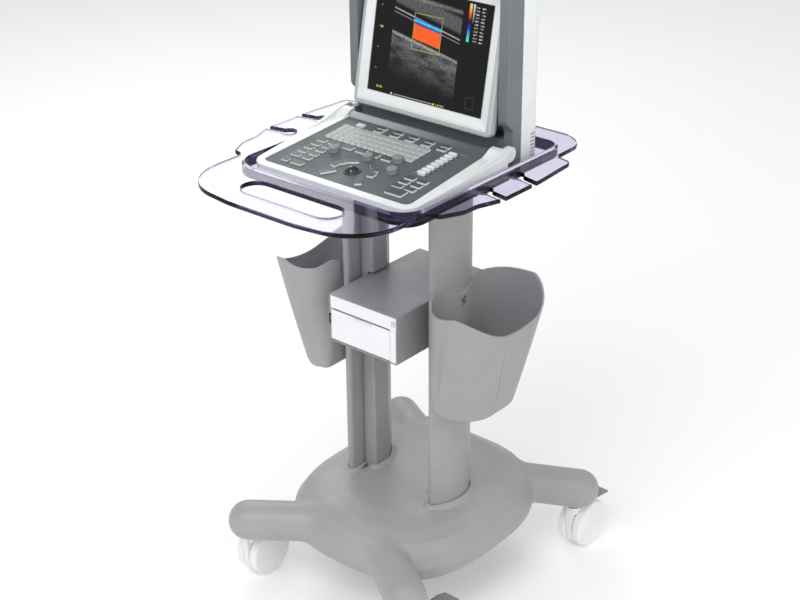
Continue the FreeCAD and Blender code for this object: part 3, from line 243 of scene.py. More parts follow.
class Picture(MaterialGraph):
    """The display's picture, painted in layers. Across and down are shares of its width and height."""

    def __init__(self, name):
        super().__init__(name)
        up = self.along(DISPLAY_FOOT, (0.0, math.sin(TILT), math.cos(TILT)))
        self.across = self.math("DIVIDE", self.total(self.axes()["X"], ACTIVE_WIDTH / 2), ACTIVE_WIDTH)
        self.down = self.inverse(self.math("DIVIDE", self.math("SUBTRACT", up, ACTIVE_BOTTOM), ACTIVE_HEIGHT))
        layered = self.product(self.below(0.0, 0.0, LAYER_SLOPE), LAYER_STRETCH)
        self.layers = self.add("ShaderNodeCombineXYZ", {"X": self.across, "Y": layered})
        upright = self.add("ShaderNodeCombineXYZ", {"X": self.across, "Y": self.down})
        self.specks = self.step(self.noise(85.0, 1.0, 0.5, upright), 0.47, 0.03)
        self.picture = NIGHT

    def below(self, across, down, slope):
        """How far a point lies below a slanting line through (across, down)."""
        line = self.total(down - slope * across, self.product(self.across, slope))
        return self.math("SUBTRACT", self.down, line)

    def rectangle(self, left, right, top, bottom, soft=0.0012):
        wide = self.band(self.across, left, right, soft)
        return self.product(wide, self.band(self.down, top, bottom, soft))

    def outline(self, left, right, top, bottom, width):
        tall = 1.3 * width
        inner = self.rectangle(left + width, right - width, top + tall, bottom - tall)
        return self.math("SUBTRACT", self.rectangle(left, right, top, bottom), inner, clamp=True)

    def paint(self, mask, rgba):
        self.picture = self.mix(mask, self.picture, rgba)


def paint_tissue(p):
    """Grey scan: skin and a near layer, the two lines of a vessel's wall, and the tissue under the vessel."""
    speckle = p.step(p.noise(75.0, 6.0, 0.75, p.layers), 0.50, 0.17)
    fine = p.step(p.noise(190.0, 3.0, 0.8, p.layers), 0.50, 0.2)
    grain = p.product(speckle, p.total(0.35, p.product(fine, 0.65)))
    patches = p.step(p.noise(7.0, 3.0, 0.6, p.layers), 0.48, 0.16)
    under_wall = p.below(0.17, 0.20, 0.276)
    under_vessel = p.below(0.165, 0.41, 0.245)

    near = p.product(p.band(under_wall, -0.19, -0.055, 0.02), 0.42)
    skin = p.product(p.band(p.below(0.4, 0.085, 0.10), -0.02, 0.012, 0.012), 0.6)
    deep = p.product(p.step(under_vessel, 0.002, 0.008), p.inverse(p.step(under_vessel, 0.22, 0.20)),
                     p.total(0.12, p.product(patches, 0.55)))
    lip = p.product(p.band(under_vessel, -0.004, 0.022, 0.008), 0.85)
    wall = p.total(p.band(under_wall, -0.006, 0.005, 0.004),
                   p.product(p.band(under_wall, 0.030, 0.038, 0.004), 0.55))
    wall = p.product(wall, p.total(0.35, p.product(p.noise(24.0, 4.0, 0.6, p.layers), 0.9)), 0.8)
    window = p.product(p.band(p.across, 0.165, 0.75, 0.004), p.band(p.down, 0.0, 0.9, 0.03))
    tissue = p.total(p.product(p.total(near, skin, deep, lip), grain), wall)
    p.paint(p.product(tissue, window), ECHO)


def paint_flow(p):
    """Colour-flow box: a red stream with a thin blue one over it, inside a yellow outline."""
    box = p.band(p.across, 0.350, 0.586, 0.003)
    ripple = p.product(p.math("SUBTRACT", p.noise(30.0, 3.0, 0.6, p.layers), 0.5), 0.02)
    stream = p.total(p.below(0.35, 0.305, 0.19), ripple)
    heat = p.mix(p.noise(40.0, 4.0, 0.6, p.layers), (0.86, 0.035, 0.004, 1.0), (1.0, 0.20, 0.02, 1.0))
    p.paint(p.product(box, p.band(stream, 0.0, 0.135, 0.006)), heat)
    p.paint(p.product(box, p.band(stream, -0.052, -0.004, 0.006)), (0.005, 0.10, 0.52, 1.0))
    p.paint(p.product(box, p.band(stream, -0.040, -0.022, 0.008)), (0.10, 0.60, 0.80, 1.0))
    p.paint(p.product(p.outline(*FLOW_BOX, 0.005), 0.75), DIM_YELLOW)


def paint_scales(p):
    """Colour bar, grey bar and two columns of specks at the right, and four ticks at the left."""
    ramp = p.add("ShaderNodeValToRGB", {0: p.math("DIVIDE", p.down, SCALE_FOOT)})
    elements = ramp.color_ramp.elements
    for element, (position, rgba) in zip((elements[0], elements[1]), FLOW_STOPS):
        element.position, element.color = position, rgba
    for position, rgba in FLOW_STOPS[2:]:
        elements.new(position).color = rgba
    p.paint(p.rectangle(0.800, 0.822, 0.02, SCALE_FOOT), ramp.outputs[0])
    fall = p.math("SUBTRACT", 1.0, p.math("DIVIDE", p.down, 0.19), clamp=True)
    greys = p.mix(fall, (0.01, 0.01, 0.01, 1.0), (0.85, 0.85, 0.85, 1.0))
    p.paint(p.rectangle(0.832, 0.846, 0.02, 0.19), greys)

    cell = p.math("FRACT", p.math("DIVIDE", p.down, 0.03))
    rows = p.product(p.band(cell, 0.30, 0.72, 0.08), p.band(p.down, 0.03, SCALE_FOOT, 0.002))
    columns = p.total(p.band(p.across, 0.855, 0.885), p.band(p.across, 0.905, 0.935))
    p.paint(p.product(rows, columns, p.specks), (0.55, 0.56, 0.56, 1.0))
    for k in range(4):
        level = 0.20 + 0.195 * k
        p.paint(p.rectangle(0.047, 0.056, level - 0.004, level + 0.004), (0.45, 0.45, 0.45, 1.0))


def screen_material():
    """Greyscale tissue with a vessel, a colour-flow box, scale bars and small marks, behind glass."""
    p = Picture("display_picture")
    paint_tissue(p)
    paint_flow(p)
    paint_scales(p)
    for left, right, top, bottom, rgba in PLAIN_MARKS:
        p.paint(p.rectangle(left, right, top, bottom), rgba)
    for left, right, top, bottom, rgba in SPECK_MARKS:
        p.paint(p.product(p.rectangle(left, right, top, bottom), p.specks), rgba)
    p.paint(p.outline(*EMPTY_BOX, 0.004), (0.045, 0.045, 0.05, 1.0))
    return p.finish(p.add("ShaderNodeBsdfPrincipled", {
        "Base Color": BLACK_GLASS, "Roughness": p.remap(p.noise(30.0, 5.0, 0.7), start=0.08, stop=0.22),
        "Specular IOR Level": 0.25, "Emission Color": p.picture, "Emission Strength": 1.0}))


# ---------------------------------------------------------------- clear violet acrylic
# The first colour is painted shade for the faces that stand edge-on; the faces lying flat keep the pale
# violet.
ACRYLIC_EDGE_PAINTED_SHADE = (0.045, 0.036, 0.075, 1.0)
ACRYLIC_FACES = ((0.70, 0.655, 0.84, 1.0), (0.77, 0.73, 0.89, 1.0))
ACRYLIC_SHADE_EDGE = (0.45, 0.42, 0.55, 1.0)
ACRYLIC_SHADE_FACE = (0.88, 0.86, 0.96, 1.0)


def acrylic_material():
    """Clear violet acrylic: nearly white across the sheet, with painted shade making it dark where it is seen
    edge-on.
    """
    g = MaterialGraph("violet_acrylic")
    normal = g.add("ShaderNodeNewGeometry").outputs["Normal"]
    up = g.math("ABSOLUTE", g.add("ShaderNodeSeparateXYZ", {0: normal}).outputs["Z"])
    # Faces standing edge-on get the dark painted shade; faces lying flat keep the pale violet tint.
    flat = g.step(up, 0.80, 0.17)
    tint = g.mix(flat, ACRYLIC_EDGE_PAINTED_SHADE, g.mix(g.noise(6.0), *ACRYLIC_FACES))
    bump = g.add("ShaderNodeBump", {"Height": g.noise(3.0, 2.0), "Strength": 0.03, "Distance": 0.002})
    glass = g.add("ShaderNodeBsdfPrincipled", {
        "Base Color": tint, "Roughness": g.remap(g.noise(420.0, 2.0, 0.5), start=0.01, stop=0.09),
        "IOR": 1.2, "Transmission Weight": 1.0, "Normal": bump, "Specular IOR Level": 0.6})
    clear = g.add("ShaderNodeBsdfTransparent", {"Color": g.mix(flat, ACRYLIC_SHADE_EDGE, ACRYLIC_SHADE_FACE)})
    shadow = g.add("ShaderNodeLightPath").outputs["Is Shadow Ray"]
    return g.finish(g.add("ShaderNodeMixShader", {0: shadow, 1: glass, 2: clear}))


# ---------------------------------------------------------------- colour changes within one piece
CASE_WHITE = colour(236, 240, 240)
BEZEL_BAND_X = 0.1405       # painted shade greys the display frame outside this half width
BEZEL_BAND_Z = 0.8955       # and below this height
PIN_CAP_X = 0.1785
PRINTER_SHADOW_X = 0.0743
PRINTER_SHADOW_Z = 0.5071
DECK_PITCH = math.radians(5.3)
DECK_ORIGIN = (0.0, 0.021 + ROW_SHIFT_Y, 0.860)
CAP_TOP = 0.0035            # height of a large key's top above the deck
ROLL_RISE = 0.0012          # the deck is the roll where it stands higher than this


def outside(g, half_width, height, soft):
    """1 beyond a half width to either side, or below a height."""
    axes = g.axes()
    side = g.step(g.math("ABSOLUTE", axes["X"]), half_width, soft)
    return g.math("MAXIMUM", side, g.inverse(g.step(axes["Z"], height, soft)))


def bezel_painted_shade(g, base):
    """Painted shade: the display frame's rounded outer band is painted greyer than the white slopes inside
    it, which face up and catch the light.
    """
    band = outside(g, BEZEL_BAND_X, BEZEL_BAND_Z, 0.0008)
    # Painted shade on the outer band, away from the lit inner slopes.
    return g.mix(g.product(band, 0.8), base, colour(166, 172, 173))


def pin_tint(g, base):
    """The outer ends of the hinge pins are closed by caps in the colour of the case."""
    end = g.step(g.math("ABSOLUTE", g.axes()["X"]), PIN_CAP_X, 0.0004)
    return g.mix(end, base, CASE_WHITE)


def printer_tint(g, base):
    """A dark shadow line runs down the sides and along the foot of the printer's white front."""
    line = outside(g, PRINTER_SHADOW_X, PRINTER_SHADOW_Z, 0.0002)
    return g.mix(g.product(line, 0.85), base, colour(62, 62, 64))


def deck_height(g):
    """How far a point stands above the sloping keyboard deck."""
    return g.along(DECK_ORIGIN, (0.0, -math.sin(DECK_PITCH), math.cos(DECK_PITCH)))


def deck_depth(g):
    """How far up the slope a point lies; the operator's side is negative."""
    return g.along(DECK_ORIGIN, (0.0, math.cos(DECK_PITCH), math.sin(DECK_PITCH)))


def cap_tint(strength):
    """Two-shot key caps: an inset slate top in a pale skirt."""
    def tint(g, base):
        top = g.step(deck_height(g), CAP_TOP - 0.0005, 0.0002)
        return g.mix(g.product(top, strength), base, colour(84, 90, 92))
    return tint


def deck_tint(g, base):
    """Pale lines beside and behind the gain sliders, and the dark rear roll with a painted highlight at its
    left end.
    """
    across = g.axes()["X"]
    depth = deck_depth(g)
    beside = g.product(g.band(across, 0.0893, 0.0905, 0.0002), g.band(depth, -0.112, -0.020, 0.0004))
    behind = g.product(g.band(across, 0.104, 0.128, 0.0004), g.band(depth, -0.0158, -0.0146, 0.0002))
    base = g.mix(g.product(g.math("MAXIMUM", beside, behind), 0.6), base, colour(196, 201, 202))
    # The rear roll: a painted highlight at its left end, fading to dark slate towards the right.
    roll = g.step(deck_height(g), ROLL_RISE, 0.0006)
    highlight_fade = g.step(across, -0.01, 0.15)
    return g.mix(roll, base, g.mix(highlight_fade, colour(176, 181, 182), colour(88, 94, 96)))


# ---------------------------------------------------------------- materials by slot
def grey(level):
    return colour(level, level, level)


CAP_FINISH = {"rgba": colour(240, 243, 243), "rough": 0.36, "dust": 0.0, "wear": 0.12, "vary": 0.02,
              "wear_colour": colour(200, 202, 202), "bevel": 0.0004, "gloss": 0.2}
LARGE_CAPS = finish_material("large_key_caps", tint=cap_tint(1.0), **CAP_FINISH)
SMALL_CAPS = finish_material("small_key_caps", tint=cap_tint(0.6), **CAP_FINISH)
CAPS = {"keys_alpha": SMALL_CAPS, "keys_function": LARGE_CAPS, "keys_left": LARGE_CAPS,
        "keys_right": LARGE_CAPS, "keys_trackball": LARGE_CAPS}

MATERIALS = {
    "trolley_grey": finish_material("trolley_paint", grey(158), 0.46, grain=1400.0, grain_depth=0.06),
    "base_grey": finish_material("base_moulding", grey(162), 0.42, dust=0.04, grain=1100.0,
                                 grain_depth=0.05),
    "bin_grey": finish_material("bin_moulding", grey(159), 0.50, dust=0.04, grain=1100.0, grain_depth=0.06),
    "clear_violet": acrylic_material(),
    "steel": finish_material("zinc_steel", colour(190, 191, 193), 0.32, metal=1.0, vary=0.08, dust=0.02),
    "caster_white": finish_material("caster_hood_plastic", colour(236, 237, 238), 0.34, dust=0.02,
                                    wear_colour=colour(170, 168, 165)),
    "tread_white": finish_material("caster_tread", colour(238, 239, 240), 0.34, dust=0.02, wear=0.35,
                                   wear_colour=colour(176, 173, 168)),
    "pedal_grey": finish_material("pedal_plastic", colour(132, 133, 134), 0.5),
    "printer_grey": finish_material("printer_paint", grey(150), 0.42, grain=1500.0, grain_depth=0.05),
    "printer_white": finish_material("printer_front", colour(236, 238, 239), 0.36, vary=0.02, dust=0.0,
                                     wear=0.08, tint=printer_tint),
    "mechanism": finish_material("bare_sheet", colour(160, 161, 163), 0.35, metal=1.0, vary=0.1),
    "roller_rubber": finish_material("platen_rubber", colour(36, 36, 38), 0.62),
    "paper": finish_material("thermal_paper", colour(242, 241, 236), 0.75, dust=0.0, wear=0.0),
    "button_grey": finish_material("button_plastic", colour(205, 208, 210), 0.35, dust=0.0),
    "case_white": finish_material("case_moulding", CASE_WHITE, 0.33, grain=1300.0, dust=0.03,
                                  wear_colour=colour(190, 190, 186)),
    "deck_slate": finish_material("deck_moulding", colour(94, 102, 104), 0.5, grain=1500.0,
                                  grain_depth=0.05, gloss=0.22, dust=0.02, wear=0.1,
                                  wear_colour=colour(150, 156, 158), tint=deck_tint),
    "board_green": finish_material("circuit_board", colour(34, 96, 56), 0.4, vary=0.12),
    "key_white": finish_material("key_caps", colour(236, 239, 239), 0.38, dust=0.02,
                                 wear_colour=colour(180, 180, 176)),
    "key_silver": finish_material("power_key_cap", colour(214, 218, 219), 0.30, dust=0.02),
    "knob_slate": finish_material("knob_grip", colour(140, 147, 148), 0.55, dust=0.02, wear=0.1, vary=0.03,
                                  gloss=0.25),
    "ball_black": finish_material("trackball_ball", colour(20, 21, 23), 0.12, dust=0.0, wear=0.0, coat=0.6),
    "ring_silver": finish_material("trackball_rim", colour(60, 64, 66), 0.28, dust=0.0),
    "pin_steel": finish_material("pin_steel_turned", colour(182, 183, 184), 0.3, metal=0.6, vary=0.08,
                                 tint=pin_tint),
    "bezel_silver": finish_material("display_frame", colour(234, 238, 238), 0.3, vary=0.012, dust=0.0,
                                    wear=0.04, grain_depth=0.01, tint=bezel_painted_shade, coat=0.2, bevel=0.0016),
    "screen": screen_material(),
    "tower_slate": finish_material("tower_moulding", colour(112, 120, 121), 0.42, grain=1400.0,
                                   grain_depth=0.06, wear_colour=colour(160, 165, 166)),
    "socket_black": finish_material("socket_plastic", colour(30, 30, 32), 0.5),
    "supply_steel": finish_material("supply_box", colour(170, 171, 172), 0.36, metal=1.0, vary=0.1),
    "fan_black": finish_material("fan_plastic", colour(26, 26, 27), 0.5),
}


def dress_cad_nodes():
    slots = {s["node"]: s["material_slot"] for s in frame["record"]["subparts"]}
    for name, node in NODES.items():
        node.data.materials.clear()
        node.data.materials.append(CAPS.get(name, MATERIALS[slots[name]]))


def mesh_object(name, points, faces, slot_name, body="trolley", smooth=True):
    """A new piece in the finish of a slot, from points in millimetres about the line of the columns."""
    mesh = bpy.data.meshes.new(name)
    places = [(x * MM, y * MM + ROW_SHIFT_Y, z * MM) for x, y, z in points]
    mesh.from_pydata(places, [], [tuple(int(i) for i in face) for face in faces])
    mesh.update()
    work = bmesh.new()
    work.from_mesh(mesh)
    bmesh.ops.recalc_face_normals(work, faces=work.faces)
    work.to_mesh(mesh)
    work.free()
    mesh.polygons.foreach_set("use_smooth", [smooth] * len(mesh.polygons))
    mesh.materials.append(MATERIALS[slot_name])
    obj = bpy.data.objects.new(name, mesh)
    bpy.context.scene.collection.objects.link(obj)
    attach(obj, body)
    return obj


# ---------------------------------------------------------------- base as one soft moulding
LEGS = ((-190.0, -234.0, 33.0), (190.0, -234.0, 33.0), (221.0, 241.0, 30.0), (-221.0, 241.0, 30.0))
LEG_RADIUS = 37.0
LEG_Z = 137.2
LEG_REACH = 150.0
LEG_RISE = 6.0
LEG_BLEND = 9.0
BASE_WALL = 6.0
DOME_HALF_X = 195.0
DOME_HALF_Y = 223.0
DOME_CENTRE_Y = 18.0
DOME_LOW = 98.6
DOME_HIGH = 195.4
DOME_MEAN_HALF = 205.0
DOME_POWER = 2.75           # 2 would be an ellipse in plan; more is squarer
DOME_SECTIONS = ((0.0, 0.93), (0.13, 0.98), (0.36, 1.0), (0.62, 0.975), (0.81, 0.91), (0.93, 0.80),
                 (1.0, 0.62))                                       # share of the height, of the half sizes
DOME_SLOPES = ((0.0, 0.4), (0.3, 0.1), (0.6, 0.35), (0.8, 1.1), (0.9, 2.4), (1.0, 4.2))
HOLLOW_RISE = 12.0          # the inside is open below, as deep as this above the rim
FIELD_LOW = (-262.0, -276.0, 96.0)
FIELD_HIGH = (262.0, 283.0, 199.0)
FIELD_STEP = 3.0


def smooth_min(a, b, reach):
    h = np.clip(0.5 + 0.5 * (b - a) / reach, 0.0, 1.0)
    return b * (1.0 - h) + a * h - reach * h * (1.0 - h)


def read_off(level, table):
    """Value at a level, from a table of (level, value) with straight runs between."""
    return np.interp(level, [row[0] for row in table], [row[1] for row in table])


def dome_field(x, y, z, inset):
    """Roughly the distance to the moulded dome, in millimetres."""
    away_x = np.abs(x / (DOME_HALF_X - inset)) ** DOME_POWER
    away_y = np.abs((y - DOME_CENTRE_Y) / (DOME_HALF_Y - inset)) ** DOME_POWER
    spread = (away_x + away_y) ** (1.0 / DOME_POWER)
    top = DOME_HIGH - inset
    level = np.clip((z - DOME_LOW) / (top - DOME_LOW), 0.0, 1.0)
    overhang = spread - read_off(level, DOME_SECTIONS)
    side = overhang * DOME_MEAN_HALF / np.sqrt(1.0 + read_off(level, DOME_SLOPES) ** 2)
    return np.maximum(side, z - top)


def leg_field(x, y, z, leg, radius):
    """Distance to a ball-ended leg that rises slightly towards the dome."""
    tip_x, tip_y, degrees = leg
    angle = math.radians(degrees)
    tip = np.array([tip_x, tip_y, LEG_Z])
    root = np.array([tip_x - math.copysign(LEG_REACH * math.cos(angle), tip_x),
                     tip_y - math.copysign(LEG_REACH * math.sin(angle), tip_y), LEG_Z + LEG_RISE])
    way = tip - root
    from_root = (x - root[0], y - root[1], z - root[2])
    share = np.clip(sum(d * w for d, w in zip(from_root, way)) / way.dot(way), 0.0, 1.0)
    return np.sqrt(sum((d - share * w) ** 2 for d, w in zip(from_root, way))) - radius


def base_field(x, y, z):
    """Negative inside the wall of the moulding: the dome and legs, less their inside and open foot."""
    body = dome_field(x, y, z, 0.0)
    hollow = dome_field(x, y, np.maximum(z, DOME_LOW + HOLLOW_RISE), BASE_WALL)
    for leg in LEGS:
        body = smooth_min(body, leg_field(x, y, z, leg, LEG_RADIUS), LEG_BLEND)
        hollow = np.minimum(hollow, leg_field(x, y, z, leg, LEG_RADIUS - BASE_WALL))
    body = np.maximum(body, DOME_LOW - 1.0 - z)
    return np.maximum(body, -hollow)


def surface_net(field, low, step):
    """Mesh of the field's zero surface: one vertex per crossed cell, one quad per crossed edge."""
    inside = field < 0.0
    shape = np.array(field.shape)
    total = np.zeros(tuple(shape - 1) + (3,))
    count = np.zeros(tuple(shape - 1))

    def at(array, corner):
        """The array seen from one corner of every cell."""
        return array[tuple(slice(c, n - 1 + c) for c, n in zip(corner, shape))]

    for a in [(i, j, k) for i in (0, 1) for j in (0, 1) for k in (0, 1)]:
        for axis in range(3):
            if a[axis] == 1:
                continue
            b = tuple(1 if i == axis else a[i] for i in range(3))
            fa, fb = at(field, a), at(field, b)
            crossed = at(inside, a) != at(inside, b)
            share = np.where(crossed, fa / np.where(fa == fb, 1.0, fa - fb), 0.0)
            for i in range(3):
                offset = a[i] + (share if i == axis else 0.0)
                total[..., i] += np.where(crossed, offset, 0.0)
            count += crossed
    used = count > 0
    index = np.full(used.shape, -1)
    index[used] = np.arange(used.sum())
    points = (np.argwhere(used) + total[used] / count[used][:, None]) * step + np.array(low)
    quads = []
    for axis in range(3):
        u, v = [(1, 2), (2, 0), (0, 1)][axis]
        take = [slice(1, -1)] * 3
        take[axis] = slice(0, -1)
        ahead = list(take)
        ahead[axis] = slice(1, None)
        start, stop = inside[tuple(take)], inside[tuple(ahead)]
        spots = np.argwhere(start != stop)
        base = spots + np.array([0 if i == axis else 1 for i in range(3)])
        around = []
        for du, dv in ((0, 0), (1, 0), (1, 1), (0, 1)):
            cell = base.copy()
            cell[:, u] -= du
            cell[:, v] -= dv
            around.append(index[cell[:, 0], cell[:, 1], cell[:, 2]])
        ring = np.stack(around, 1)
        flip = stop[tuple(spots.T)]
        ring[flip] = ring[flip][:, ::-1]
        quads.append(ring)
    return points, np.concatenate(quads)


def base_moulding():
    step = FIELD_STEP
    axes = [np.arange(low, high + step, step) for low, high in zip(FIELD_LOW, FIELD_HIGH)]
    x, y, z = np.meshgrid(*axes, indexing="ij")
    points, quads = surface_net(base_field(x, y, z), FIELD_LOW, step)
    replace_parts(mesh_object("base_moulding", points, quads, "base_grey"), "base_cover")


# ---------------------------------------------------------------- bins, drawn out a little
BIN_FOOT = 0.404
BIN_MOUTH = 0.632
BIN_OUTER_X = (0.150, 0.245)        # from the middle of a bin to its outer wall
BIN_FOOT_X = (0.128, 0.165)
BIN_FRONT_Y = (-0.088, -0.053)      # in the row's frame
BIN_SAG_X = (0.150, 0.225)          # the rim sags inside this reach
BIN_COLUMN_X = (0.108, 0.135)       # but not where it meets the column
FOOT_OUT = 0.012
MOUTH_OUT = 0.0052
FOOT_DROP = 0.007
CORNER_LIFT = 0.005
RIM_SAG = 0.012


def reshape_bins():
    """Draw the bins' outer walls and feet outwards and let the front rim sag beside the column."""
    tree = bpy.data.node_groups.new("bin_reshape", "GeometryNodeTree")
    for way in ("INPUT", "OUTPUT"):
        tree.interface.new_socket("Geometry", in_out=way, socket_type="NodeSocketGeometry")
    g = Graph(tree)
    place = g.add("ShaderNodeSeparateXYZ", {0: g.add("GeometryNodeInputPosition")}).outputs
    reach = g.math("ABSOLUTE", place["X"])
    level = g.remap(place["Z"], BIN_FOOT, BIN_MOUTH)
    below = g.inverse(level)
    outer = g.ease(reach, *BIN_OUTER_X)

    out = g.total(g.product(below, FOOT_OUT), g.product(level, MOUTH_OUT))
    shift = g.product(out, outer, g.math("SIGN", place["X"]))
    foot = g.product(below, g.ease(reach, *BIN_FOOT_X), -FOOT_DROP)
    corner = g.product(level, outer, CORNER_LIFT)
    front = g.inverse(g.ease(place["Y"], *BIN_FRONT_Y))
    beside = g.product(g.inverse(g.ease(reach, *BIN_SAG_X)), g.ease(reach, *BIN_COLUMN_X))
    sag = g.product(front, beside, level, -RIM_SAG)
    offset = g.add("ShaderNodeCombineXYZ", {"X": shift, "Z": g.total(foot, corner, sag)})
    moved = g.add("GeometryNodeSetPosition", {"Geometry": g.add("NodeGroupInput"), "Offset": offset})
    g.add("NodeGroupOutput", {0: moved})
    for name in ("bin_left", "bin_right"):
        NODES[name].modifiers.new("reshape", "NODES").node_group = tree


# ---------------------------------------------------------------- column collars
COLUMN_CORNERS = ((90.0, -67.7, 7.0), (146.8, 0.0, 81.2), (93.5, 64.0, 10.0), (66.0, 22.0, 8.0),
                  (66.0, -16.0, 5.0), (90.0, -16.5, 3.0))
COLLAR_PROFILE = ((0.8, 186.0), (0.8, 200.2), (1.6, 200.9), (3.6, 200.6), (7.0, 198.6), (10.5, 195.6),
                  (13.5, 191.5), (15.5, 186.0), (16.5, 176.0))      # distance from the column, height
STEPS_PER_CORNER = 14


def rounded_loop(corners):
    """Points round an outline of (x, y, radius) corners."""
    loop = []
    for i, (x, y, r) in enumerate(corners):
        here = Vector((x, y))
        back = (Vector(corners[i - 1][:2]) - here).normalized()
        ahead = (Vector(corners[(i + 1) % len(corners)][:2]) - here).normalized()
        half = back.angle(ahead) / 2.0
        centre = here + (back + ahead).normalized() * (r / math.sin(half))
        start = here + back * (r / math.tan(half)) - centre
        stop = here + ahead * (r / math.tan(half)) - centre
        sweep = start.angle_signed(stop)
        for k in range(STEPS_PER_CORNER):
            turned = start.copy()
            turned.rotate(Matrix.Rotation(-sweep * k / (STEPS_PER_CORNER - 1), 2))
            loop.append(centre + turned)
    return loop


def strip_faces(rings, rows, closed_rings=False, closed_rows=False):
    """Quads between neighbouring rings of points, each ring holding the same number of rows."""
    faces = []
    for i in range(rings if closed_rings else rings - 1):
        here, following = i * rows, ((i + 1) % rings) * rows
        for k in range(rows if closed_rows else rows - 1):
            j = (k + 1) % rows
            faces.append((here + k, following + k, following + j, here + j))
    return faces


def end_faces(rings, rows):
    """The two faces that close a run of rings."""
    return [tuple(range(rows)), tuple((rings - 1) * rows + k for k in range(rows))]


def collar(name, side):
    """Skirt that swells out of the base round a column, with a fine gap at the column."""
    loop = rounded_loop(COLUMN_CORNERS)
    points = []
    for i, p in enumerate(loop):
        tangent = (loop[(i + 1) % len(loop)] - loop[i - 1]).normalized()
        for out, z in COLLAR_PROFILE:
            points.append((side * (p.x + tangent.y * out), p.y - tangent.x * out, z))
    faces = strip_faces(len(loop), len(COLLAR_PROFILE), closed_rings=True)
    mesh_object(name, points, faces, "base_grey")


# ---------------------------------------------------------------- small fittings
CASTERS = ("front_left", "front_right", "rear_right", "rear_left")
FENDER_PROFILE = ((-6.3, 41.0), (-6.3, 44.6), (-4.6, 45.7), (-2.0, 46.1), (2.0, 46.1), (4.6, 45.7),
                  (6.3, 44.6), (6.3, 41.0))                         # across, distance from the axle
FENDER_HALF_SWEEP = 62.0
FENDER_STEPS = 30
LATCH_OUTLINE = ((-77.0, 556.5), (-73.6, 556.5), (-73.6, 553.0), (-75.2, 552.0), (-75.2, 545.0),
                 (-73.9, 544.0), (-73.9, 538.5), (-76.0, 536.0), (-77.0, 536.0))
LATCH_LAYERS = ((-119.0, 0.0), (-120.6, 0.0), (-121.2, 0.5))        # Y, how far the sides draw in


def node_centre(name):
    """Middle of a CAD node, in millimetres about the line of the columns."""
    low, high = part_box(name)
    return ((low + high) / 2.0 - Vector((0.0, ROW_SHIFT_Y, 0.0))) / MM


def caster_fender(caster):
    """Curved strip that closes the gap between a caster's twin wheels, from low in front to the hood."""
    axle = node_centre("caster_wheels_" + caster)
    points = []
    for i in range(FENDER_STEPS + 1):
        angle = math.radians(FENDER_HALF_SWEEP * (2.0 * i / FENDER_STEPS - 1.0))
        for across, radius in FENDER_PROFILE:
            points.append((axle.x + across, axle.y - radius * math.cos(angle),
                           axle.z + radius * math.sin(angle)))
    shape = (FENDER_STEPS + 1, len(FENDER_PROFILE))
    faces = strip_faces(*shape, closed_rows=True) + end_faces(*shape)
    mesh_object("caster_fender_" + caster, points, faces, "caster_white", "caster_" + caster)


def printer_latch():
    """Small dark hook that holds the left edge of the printer's front."""
    middle = sum(x for x, z in LATCH_OUTLINE) / len(LATCH_OUTLINE)
    points = []
    for y, inset in LATCH_LAYERS:
        for x, z in LATCH_OUTLINE:
            points.append((x + math.copysign(inset, middle - x), y, z))
    shape = (len(LATCH_LAYERS), len(LATCH_OUTLINE))
    faces = strip_faces(*shape, closed_rows=True) + end_faces(*shape)
    mesh_object("printer_latch", points, faces, "socket_black", smooth=False)


# ---------------------------------------------------------------- studio
FLOOR_HALF = 30.0
FLOOR_GLOW = 0.16
SKY_STRENGTH = 0.62
LIGHT_TARGET = Vector((0.0, 0.0, 0.7))
LIGHTS = (                  # name, place, side, power in watts
    ("key_light", (0.6, -2.6, 3.4), 2.2, 62.0),
    ("fill_light", (3.2, -0.4, 1.9), 2.4, 20.0),
    ("rim_light", (-2.4, 1.8, 2.6), 1.8, 26.0))
CAMERA_PLACE = (1.6592, -1.9714 + ROW_SHIFT_Y, 1.8260)
CAMERA_HEADING = 40.372
CAMERA_DIP = 26.173
CAMERA_ROLL = -0.517
CAMERA_LENS = 73.2
CAMERA_SENSOR = 36.0
CAMERA_FAR = 50.0


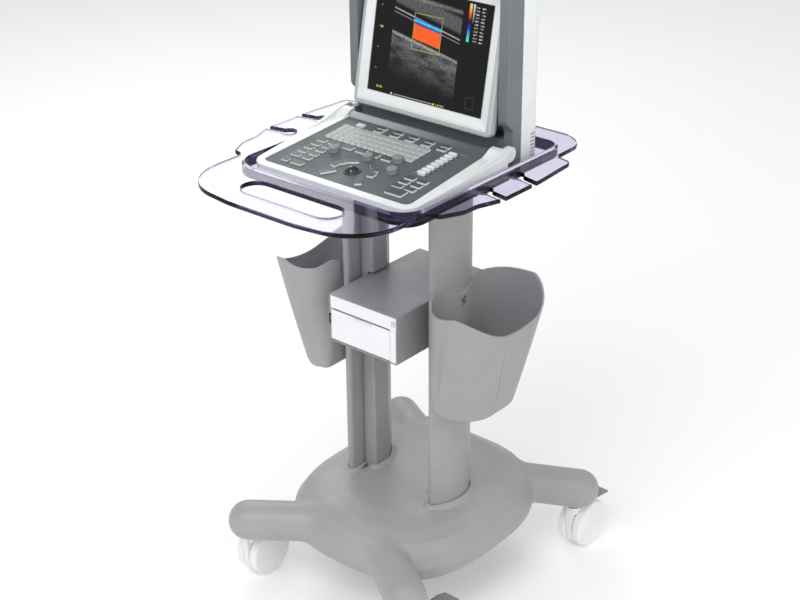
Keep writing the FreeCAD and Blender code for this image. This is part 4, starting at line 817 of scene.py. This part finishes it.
def studio_floor():
    floor_mesh = bpy.data.meshes.new("studio_floor")
    corners = [(x * FLOOR_HALF, y * FLOOR_HALF, 0) for x, y in ((-1, -1), (1, -1), (1, 1), (-1, 1))]
    floor_mesh.from_pydata(corners, [], [(0, 1, 2, 3)])
    floor = bpy.data.objects.new("studio_floor", floor_mesh)
    bpy.context.scene.collection.objects.link(floor)
    g = MaterialGraph("studio_floor_paint")
    tone = g.mix(g.noise(0.8, 3.0), (0.90, 0.90, 0.90, 1.0), (0.93, 0.93, 0.93, 1.0))
    floor_mesh.materials.append(g.finish(g.add("ShaderNodeBsdfPrincipled", {
        "Base Color": tone, "Roughness": 0.9, "Specular IOR Level": 0.1,
        "Emission Color": tone, "Emission Strength": FLOOR_GLOW})))


def studio_light():
    world = bpy.data.worlds.new("studio")
    world.use_nodes = True
    background = world.node_tree.nodes["Background"]
    background.inputs["Color"].default_value = (1.0, 1.0, 1.0, 1.0)
    background.inputs["Strength"].default_value = SKY_STRENGTH
    bpy.context.scene.world = world
    for name, place, side, power in LIGHTS:
        light = bpy.data.lights.new(name, "AREA")
        light.energy = power
        light.size = side
        lamp = bpy.data.objects.new(name, light)
        lamp.location = place
        lamp.rotation_euler = (LIGHT_TARGET - Vector(place)).to_track_quat("-Z", "Y").to_euler()
        bpy.context.scene.collection.objects.link(lamp)


def camera():
    data = bpy.data.cameras.new("camera")
    data.lens = CAMERA_LENS
    data.sensor_width = CAMERA_SENSOR
    data.clip_end = CAMERA_FAR
    eye = bpy.data.objects.new("camera", data)
    turn = Matrix.Rotation(math.radians(CAMERA_HEADING), 4, "Z")
    tip = Matrix.Rotation(math.radians(90.0 - CAMERA_DIP), 4, "X")
    roll = Matrix.Rotation(math.radians(CAMERA_ROLL), 4, "Z")
    eye.matrix_world = Matrix.Translation(CAMERA_PLACE) @ turn @ tip @ roll
    bpy.context.scene.collection.objects.link(eye)
    bpy.context.scene.camera = eye


dress_cad_nodes()
base_moulding()
collar("column_collar_right", 1.0)
collar("column_collar_left", -1.0)
reshape_bins()
for caster in CASTERS:
    caster_fender(caster)
printer_latch()
studio_floor()
studio_light()
camera()
bpy.context.scene.view_settings.view_transform = "Standard"
